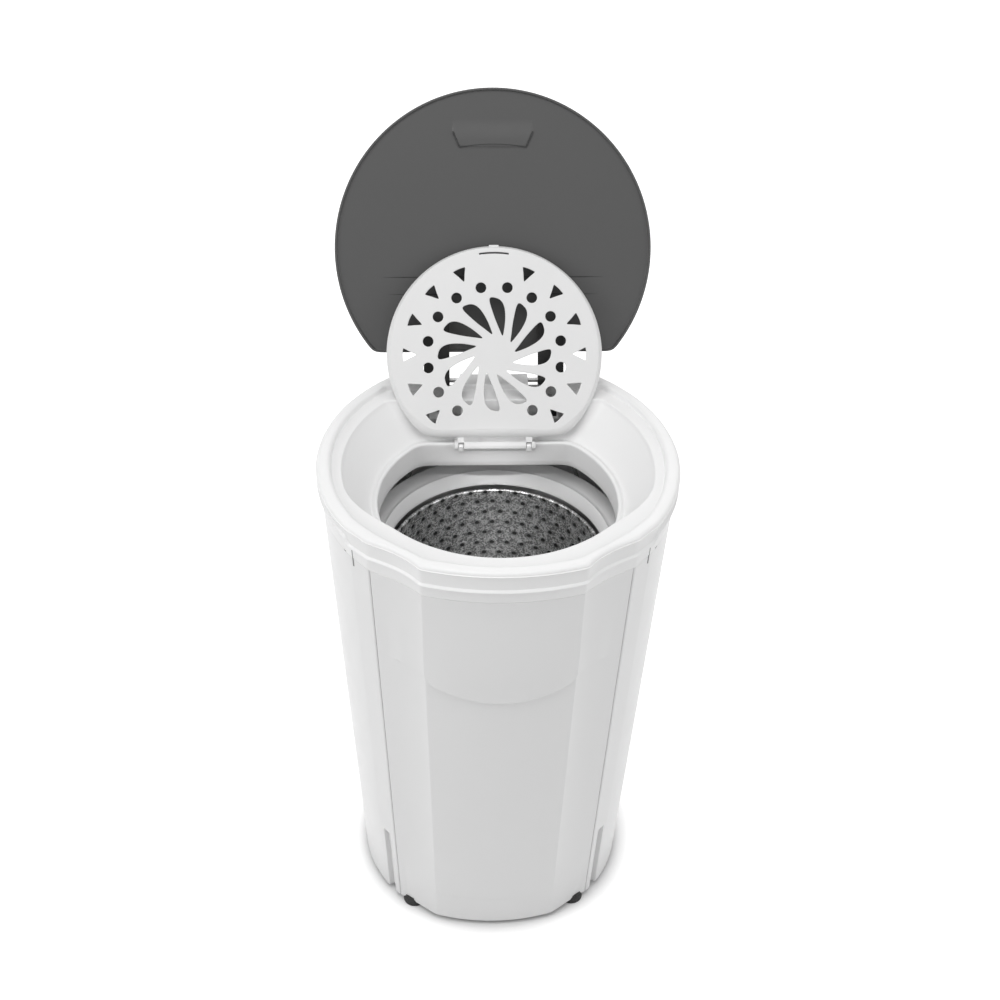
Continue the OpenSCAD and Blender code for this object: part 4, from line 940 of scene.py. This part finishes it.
class InnerLid(bpy.types.Operator):
    """Perforated inner lid with its turned-down edge, hinge bar and latch, standing open."""

    bl_idname = "spin_dryer.inner_lid"
    bl_label = "Inner lid"

    def execute(self, context):
        lids = settings("spin_lids")
        e = lids.edge_round / MM * 0.55
        outline = soften(cut_disc(INNER_R, 0, INNER_CHORD_Y - INNER_CENTRE_Y), 4.2)
        angles = np.arange(240) * TURN / 240
        rim = sample(outline, angles)
        rim_loop = (rim - slant(angles))[:, None] * np.stack([np.sin(angles), -np.cos(angles)], -1)
        curve = bpy.data.curves.new("perforated", "CURVE")
        curve.dimensions, curve.fill_mode = "2D", "BOTH"
        curve.extrude, curve.bevel_depth, curve.bevel_resolution = (INNER_PLATE / 2 - e) * MM, e * MM, 2
        curve.offset = -e * MM
        for loop in [rim_loop] + inner_lid_holes(lids.vent_radius / MM):
            spline = curve.splines.new("POLY")
            spline.points.add(len(loop) - 1)
            spline.points.foreach_set("co", np.column_stack([loop * MM, [[0.0, 1.0]] * len(loop)]).ravel())
            spline.use_cyclic_u = True
        flat = bpy.data.objects.new("perforated", curve)
        link(flat)
        bpy.context.view_layer.update()
        mesh = bpy.data.meshes.new_from_object(flat.evaluated_get(bpy.context.evaluated_depsgraph_get()))
        bpy.data.objects.remove(flat)
        co = np.zeros(len(mesh.vertices) * 3, np.float32)
        mesh.vertices.foreach_get("co", co)
        at = co.reshape(-1, 3) / MM + [0, INNER_CENTRE_Y, INNER_FOOT + INNER_PLATE / 2]
        at, _ = swing((at, None), INNER_Y, INNER_Z, inner_open_angle())
        mesh.vertices.foreach_set("co", (at * MM).astype(np.float32).ravel())
        mesh.update()
        finish_piece(bpy.data.objects.new("perforated_plate", mesh), "inner_lid", "inner", ["inner_lid"],
                     sharp=35)
        self.edge(angles, rim)
        return {"FINISHED"}

    def edge(self, angles, rim):
        """The lid's flared edge, hinge bar with three knuckles, and latch tongue."""
        foot, top = INNER_FOOT, INNER_TOP
        wall = [(1.04, 0.3, foot + 0.9), (1.0, 0.0, foot + 0.25), (0.93, 0.0, foot + 0.2), (0.4, 0.0, foot + 2.6),
                (0.0, 0.25, foot + 4.8), (0.0, 0.0, foot + 5.4), (0.0, 0.0, top - 0.6), (0.0, 0.5, top),
                (0.0, 1.6, top), (0.0, 2.0, top - 0.5), (0.0, 2.2, foot + 5.6), (0.4, 2.0, foot + 4.2),
                (1.0, 1.0, foot + 2.3)]
        r = rim[None] - np.array([k * slant(angles) + b for k, b, _ in wall])
        lip = shell(rings(r, angles, [h for _, _, h in wall], INNER_CENTRE_Y))
        half, front, under = 50, INNER_Y - 14, INNER_TOP - INNER_PLATE
        bars = [rounded_box([-half, front, under], [half, INNER_Y - 5.2, INNER_TOP], 0.5)]
        for x0, x1 in ((-half, -45.4), (-38.6, 38.6), (45.4, half)):
            bars.append(rounded_box([x0, front, under], [x1, INNER_Y, INNER_TOP], 0.5))
            knuckle = revolve([(0, x0), (2.9, x0), (3.4, x0 + 0.5), (3.4, x1 - 0.5), (2.9, x1), (0, x1)], 32)
            bars.append((knuckle[0][:, [2, 0, 1]] + [0, INNER_Y, INNER_Z], knuckle[1]))
        front = INNER_CENTRE_Y - INNER_R
        bars.append(rounded_box([-6, front - 1.2, INNER_TOP - 5.5], [6, front + 1.5, INNER_TOP - 0.1], 0.5))
        shape = swing(joined(lip, *[solid(p, q) for p, q in bars]), INNER_Y, INNER_Z, inner_open_angle())
        new_piece("inner_lid_edge", shape, "inner_lid", "inner", ["inner_lid_latch"])


# --- Drum, tub cover and feet

def dimple_counts(points, quads, count, pitch, foot):
    """UV of each corner of each quad: dimples counted round the drum and rows counted up from the foot. Quads across
    the seam count on past the last dimple."""
    corner = points[quads]
    around = (np.arctan2(corner[..., 0], -corner[..., 1]) % TURN) / TURN * count
    around = np.where(around.max(1, keepdims=True) - around > count / 2, around + count, around)
    return np.stack([around, (corner[..., 2] - foot) / pitch], -1)


class SteelDrum(bpy.types.Operator):
    """Steel drum wall, pressed into rows of staggered dimples, with a rolled bead round its rim."""

    bl_idname = "spin_dryer.steel_drum"
    bl_label = "Steel drum"

    def execute(self, context):
        drum = settings("spin_drum")
        count, rows, bead = drum.dimples_round, drum.dimple_rows, drum.bead_radius / MM
        depth, foot, top = drum.dimple_depth / MM, DRUM_FOOT + 5, DRUM_TOP - 12
        pitch = (top - foot) / rows
        lines = np.concatenate([[DRUM_FOOT + 0.6], np.linspace(foot, top, rows * 6 + 1), [DRUM_TOP - 2 * bead + 0.4]])
        angles = np.arange(count * 6) * TURN / (count * 6)
        v = (lines[:, None] - foot) / pitch
        u = angles[None] / TURN * count + np.floor(v) * 0.5
        away = np.hypot((u % 1) - 0.5, ((v % 1) - 0.5) * 0.92)
        dish = depth * ease((DIMPLE_OUT - away) / DIMPLE_SLOPE) * ((v > 0) & (v < rows))
        wall = DRUM_R - 0.8 + dish
        turn = np.linspace(1.2 * np.pi, -0.3 * np.pi, 14)
        bead_r, bead_z = DRUM_R + 0.7 + bead * np.cos(turn), DRUM_TOP - bead + bead * np.sin(turn)
        ring = np.repeat(bead_r[:, None], len(angles), 1)
        radius = np.concatenate([wall, ring, (wall + 0.8)[::-1]])
        height = np.concatenate([lines, bead_z, lines[::-1]])
        shape = shell(rings(radius, angles, height))
        new_piece("drum_wall", shape, "drum", "drum", ["drum_basket"], sharp=60,
                  uv=dimple_counts(*shape, count, pitch, foot))
        return {"FINISHED"}


class CoverRing(bpy.types.Operator):
    """Cover ring over the tub: a sloped ledge between a tall outer edge and a bead, and a lip that dips into the
    drum."""

    bl_idname = "spin_dryer.cover_ring"
    bl_label = "Tub cover ring"

    def execute(self, context):
        r, lip, k, z = COVER_R, COVER_LIP, COVER_INNER - 2.5, COVER_Z
        profile = [(r - 2.2, z - 17.6), (r - 1.6, z - 18), (r - 0.5, z - 18), (r, z - 17.5), (r, z + 9),
                   (r - 0.6, z + 10.4), (r - 2.0, z + 11), (k + 6, z + 6.8), (k + 3, z + 6.4), (k + 2.0, z + 7.0),
                   (k + 0.8, z + 7.2), (k - 0.2, z + 6.2), (lip + 1.0, z - 8), (lip + 0.1, z - 11),
                   (lip + 0.4, z - 12), (lip + 1.4, z - 12), (lip + 2.6, z - 11.0), (k + 1.4, z + 3.4),
                   (k + 3.4, z + 4.0), (r - 3.2, z + 8.0), (r - 2.5, z + 7.0)]
        new_piece("cover_ring", revolve(profile, 320), "root", "plastic", ["tub_cover"], 50)
        return {"FINISHED"}


class RubberFeet(bpy.types.Operator):
    """Four rubber feet with a flared sole and a recessed screw head."""

    bl_idname = "spin_dryer.rubber_feet"
    bl_label = "Rubber feet"

    def execute(self, context):
        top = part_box("rubber_feet")[1][2] / MM
        r = FOOT_R
        profile = [(6.1, 0.5), (6.6, 0.0), (r - 1.2, 0.0), (r - 0.3, 0.5), (r, 1.6), (r - 0.4, 5.0), (r - 0.7, 9.0),
                   (r - 1.4, 10.4), (r - 2.2, 11.0), (r - 2.2, top - 0.4), (r - 2.6, top), (3.0, top),
                   (2.6, top - 0.4), (2.6, 5.3), (3.0, 5.0), (5.7, 5.0), (6.1, 4.6)]
        feet = [revolve(profile, 56, polar(FOOT_REACH, angle)) for angle in FOOT_ANGLES]
        new_piece("rubber_feet_soles", joined(*feet), "root", "rubber", ["rubber_feet"],
                  sharp=35)
        return {"FINISHED"}


# --- Finishes

@functools.lru_cache(maxsize=None)
def finishes():
    """Every material by a short name, made once."""
    cabinet, lids = settings("spin_cabinet"), settings("spin_lids")
    return {
        "paint": painted_steel("painted sheet", tuple(cabinet.paint), 0.34),
        "plastic": moulded_plastic("moulded white", tuple(cabinet.plastic), 0.40, spread=0.02),
        "tub": moulded_plastic("tub plastic", grey(0.66), 0.45, spread=0.04),
        "inner": moulded_plastic("lid white", tuple(lids.inner), 0.42, spread=0.03),
        "lid": moulded_plastic("lid dark", tuple(lids.outer), 0.46, 0.00004, 0.04),
        # Near-black plastic: real black parts and the screw heads, and painted groove shade on the lid.
        "shadow": moulded_plastic("black plastic", grey(0.02), 0.5, 0.00005, 0.2),
        # Dark grey plastic: real grey parts, and painted slot shade on the band.
        "grey": moulded_plastic("grey plastic", grey(0.22), 0.5, 0.00005, 0.1),
        "sheath": moulded_plastic("cable sheath", grey(0.30), 0.55, 0.00004, 0.15),
        "pan": painted_steel("pan enamel", grey(0.025), 0.42),
        "rubber": rubber("black rubber", 0.010),
        "seal": rubber("seal rubber", 0.03),
        "lining": rubber("brake lining", 0.06),
        "zinc": bare_metal("zinc plate", grey(0.62), 0.34, mottle=0.15),
        "shaft": bare_metal("turned steel", grey(0.55), 0.24, (1.0, 1.0, 12.0), 0.08),
        "alloy": bare_metal("cast alloy", grey(0.50), 0.52, mottle=0.22),
        "core": bare_metal("laminated core", grey(0.16), 0.5, (0.2, 0.2, 30.0), 0.3),
        "steel": bare_metal("drum floor steel", grey(0.5), 0.33, mottle=0.3),
        "copper": copper_winding("copper winding"),
        "drum": drum_steel("pressed steel"),
    }


CAD_FINISHES = {
    "pan": "base_pan motor_bracket",
    "zinc": "foot_screws hinge_rod lid_arm_screws bracket_screws brake_pivot_pin hub_nut brake_lever",
    "tub": "outer_tub tub_legs hub_cap motor_fan",
    "grey": "drain_outlet terminal_box switch_plunger",
    # These real black plastic parts take the near-black finish.
    "shadow": "inner_hinge_pins mains_gland capacitor_cup safety_switch lid_arms",
    "sheath": "wiring_lead brake_cable",
    "alloy": "capacitor motor_housing motor_cover drum_hub brake_drum",
    "seal": "tub_seal rubber_mounts",
    "copper": "stator",
    "shaft": "drum_shaft lower_bearing upper_bearing",
    "core": "rotor",
    "steel": "drum_base",
    "lining": "brake_pad",
}


class CadFinishes(bpy.types.Operator):
    """Finishes of the CAD pieces that stay as they are."""

    bl_idname = "spin_dryer.cad_finishes"
    bl_label = "Finishes of the other pieces"

    def execute(self, context):
        for finish, nodes in CAD_FINISHES.items():
            for node in nodes.split():
                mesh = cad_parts[node].data
                mesh.materials.clear()
                mesh.materials.append(finishes()[finish])
        return {"FINISHED"}


# --- Camera and studio

class PhotoCamera(bpy.types.Operator):
    """Camera where the product picture was taken from: its direction, distance, roll and lens."""

    bl_idname = "spin_dryer.photo_camera"
    bl_label = "Camera"

    def execute(self, context):
        rise, turn, roll = (math.radians(d) for d in (39.17, -2.87, 1.33))
        aim, distance, focal, sensor = np.array([3.0, 0.0, 595.44]), 2240.92, 1.87015, 36.0
        back = np.array([math.sin(turn) * math.cos(rise), -math.cos(turn) * math.cos(rise), math.sin(rise)])
        right = np.cross(-back, [0, 0, 1.0])
        right /= np.linalg.norm(right)
        up = np.cross(right, -back)
        across = right * math.cos(roll) + up * math.sin(roll)
        over = up * math.cos(roll) - right * math.sin(roll)
        data = bpy.data.cameras.new("photo_camera")
        data.sensor_width, data.lens, data.clip_end = sensor, sensor * focal, 50.0
        camera = bpy.data.objects.new("photo_camera", data)
        pose = np.eye(4)
        pose[:3, 0], pose[:3, 1], pose[:3, 2], pose[:3, 3] = across, over, back, (aim + back * distance) * MM
        camera.matrix_world = Matrix(pose.tolist())
        link(camera)
        bpy.context.scene.camera = camera
        return {"FINISHED"}


DRUM_LAMP_AT, DRUM_LAMP_AIM, DRUM_LAMP_WIDE = (-0.10, -1.35, 2.3), (0.0, 0.10, 0.475), 3.8


def hang(lamp, place, aim):
    """Hangs a lamp at its place and turns it to its aim."""
    rig = bpy.data.objects.new(lamp.name, lamp)
    way = Vector(place) - Vector(aim)
    rig.matrix_world = Matrix.Translation(place) @ way.to_track_quat("Z", "Y").to_matrix().to_4x4()
    link(rig)


# Name, place, aim, size and share of the key's power of each soft lamp
LAMPS = (("left_lamp", (-2.5, -1.2, 2.2), (0, 0, 0.5), 1.5, 1.0),
         ("right_lamp", (2.5, -1.2, 2.1), (0, 0, 0.5), 1.5, 0.60),
         ("top_lamp", (-0.3, -0.7, 3.1), (0, 0, 0.5), 1.2, 0.68),
         ("rear_lamp", (0.2, 2.4, 2.3), (0, 0, 0.6), 1.2, 0.38))


class Studio(bpy.types.Operator):
    """White studio: floor that keeps the contact shadow, white surroundings, soft lamps and one into the drum."""

    bl_idname = "spin_dryer.studio"
    bl_label = "Studio"

    def execute(self, context):
        studio = settings("spin_studio")
        context.scene.view_settings.view_transform = "Standard"
        self.floor(studio)
        self.sky(studio.sky)
        for name, place, aim, size, share in LAMPS:
            lamp = bpy.data.lights.new(name, "AREA")
            lamp.size, lamp.energy = size, studio.key * share
            hang(lamp, place, aim)
        lamp = bpy.data.lights.new("drum_lamp", "SPOT")
        lamp.energy, lamp.spot_size, lamp.spot_blend = studio.drum_lamp, math.radians(DRUM_LAMP_WIDE), 1.0
        lamp.shadow_soft_size = 0.05
        hang(lamp, DRUM_LAMP_AT, DRUM_LAMP_AIM)
        return {"FINISHED"}

    def floor(self, studio):
        """White floor: lit like paper for the light that it throws back. What is seen of it also glows outside the
        cabinet's foot, so it turns white there and the contact shadow stays."""
        material = bpy.data.materials.new("studio floor")
        t = Nodes(material, empty=True)
        tone = t.blend(t.add("ShaderNodeTexNoise", {}, {"Scale": 3.0}), tuple(studio.floor), grey(0.74))
        paper = t.add("ShaderNodeBsdfDiffuse", {}, {"Color": tone})
        far = t.add("ShaderNodeVectorMath", {"operation": "LENGTH"}, [t.place()], "Value")
        outside = t.add("ShaderNodeMapRange", {}, [far, GLOW_FROM, GLOW_TO])
        glow = t.add("ShaderNodeEmission", {}, {"Color": t.blend(outside, grey(0.0), grey(0.55))})
        shown = t.add("ShaderNodeAddShader", {}, [t.add("ShaderNodeBsdfDiffuse", {}, {"Color": grey(0.95)}), glow])
        mix = t.add("ShaderNodeMixShader", {}, [t.seen(), paper, shown])
        t.add("ShaderNodeOutputMaterial", {}, {"Surface": mix})
        mesh = bpy.data.meshes.new("floor")
        half = 12.0
        mesh.from_pydata([(-half, -half, 0), (half, -half, 0), (half, half, 0), (-half, half, 0)], [], [(0, 1, 2, 3)])
        mesh.materials.append(material)
        floor = bpy.data.objects.new("floor", mesh)
        link(floor)

    def sky(self, strength):
        """White surroundings for what is seen and mirrored, and a softer light for the rest."""
        world = bpy.data.worlds.new("studio")
        t = Nodes(world, empty=True)
        soft, white = (t.add("ShaderNodeBackground", {}, [grey(1.0), power]) for power in (strength, 1.0))
        mix = t.add("ShaderNodeMixShader", {}, [t.seen(), soft, white])
        t.add("ShaderNodeOutputWorld", {}, {"Surface": mix})
        bpy.context.scene.world = world


# --- Add-on

GROUPS = {"spin_cabinet": CabinetSettings, "spin_lids": LidSettings, "spin_drum": DrumSettings,
          "spin_studio": StudioSettings}
STEPS = (PhotoCamera, FrontSheet, WrapSheet, MouldedTop, BandDetails, OuterLid, InnerLid, SteelDrum, CoverRing,
         RubberFeet, CadFinishes, Studio)


class SpinDryerPanel(bpy.types.Panel):
    """Sidebar panel with the settings and every step of the spin dryer."""

    bl_idname = "VIEW3D_PT_spin_dryer"
    bl_label = "Spin dryer"
    bl_space_type = "VIEW_3D"
    bl_region_type = "UI"
    bl_category = "Spin dryer"

    def draw(self, context):
        for step in STEPS:
            self.layout.operator(step.bl_idname)
        for name in GROUPS:
            box = self.layout.box()
            group = getattr(context.scene, name)
            for key in group.__annotations__:
                box.prop(group, key)


def register():
    for group in GROUPS.values():
        bpy.utils.register_class(group)
    for step in STEPS + (SpinDryerPanel,):
        bpy.utils.register_class(step)
    for name, group in GROUPS.items():
        setattr(bpy.types.Scene, name, bpy.props.PointerProperty(type=group))


def unregister():
    for name in GROUPS:
        delattr(bpy.types.Scene, name)
    for kind in (SpinDryerPanel,) + STEPS[::-1] + tuple(GROUPS.values()):
        bpy.utils.unregister_class(kind)


def main():
    """Builds every piece in order."""
    register()
    for step in STEPS:
        name = step.bl_idname.split(".")[1]
        if getattr(bpy.ops.spin_dryer, name)() != {"FINISHED"}:
            raise RuntimeError(name + " did not finish")


if __name__ == "__main__":
    main()
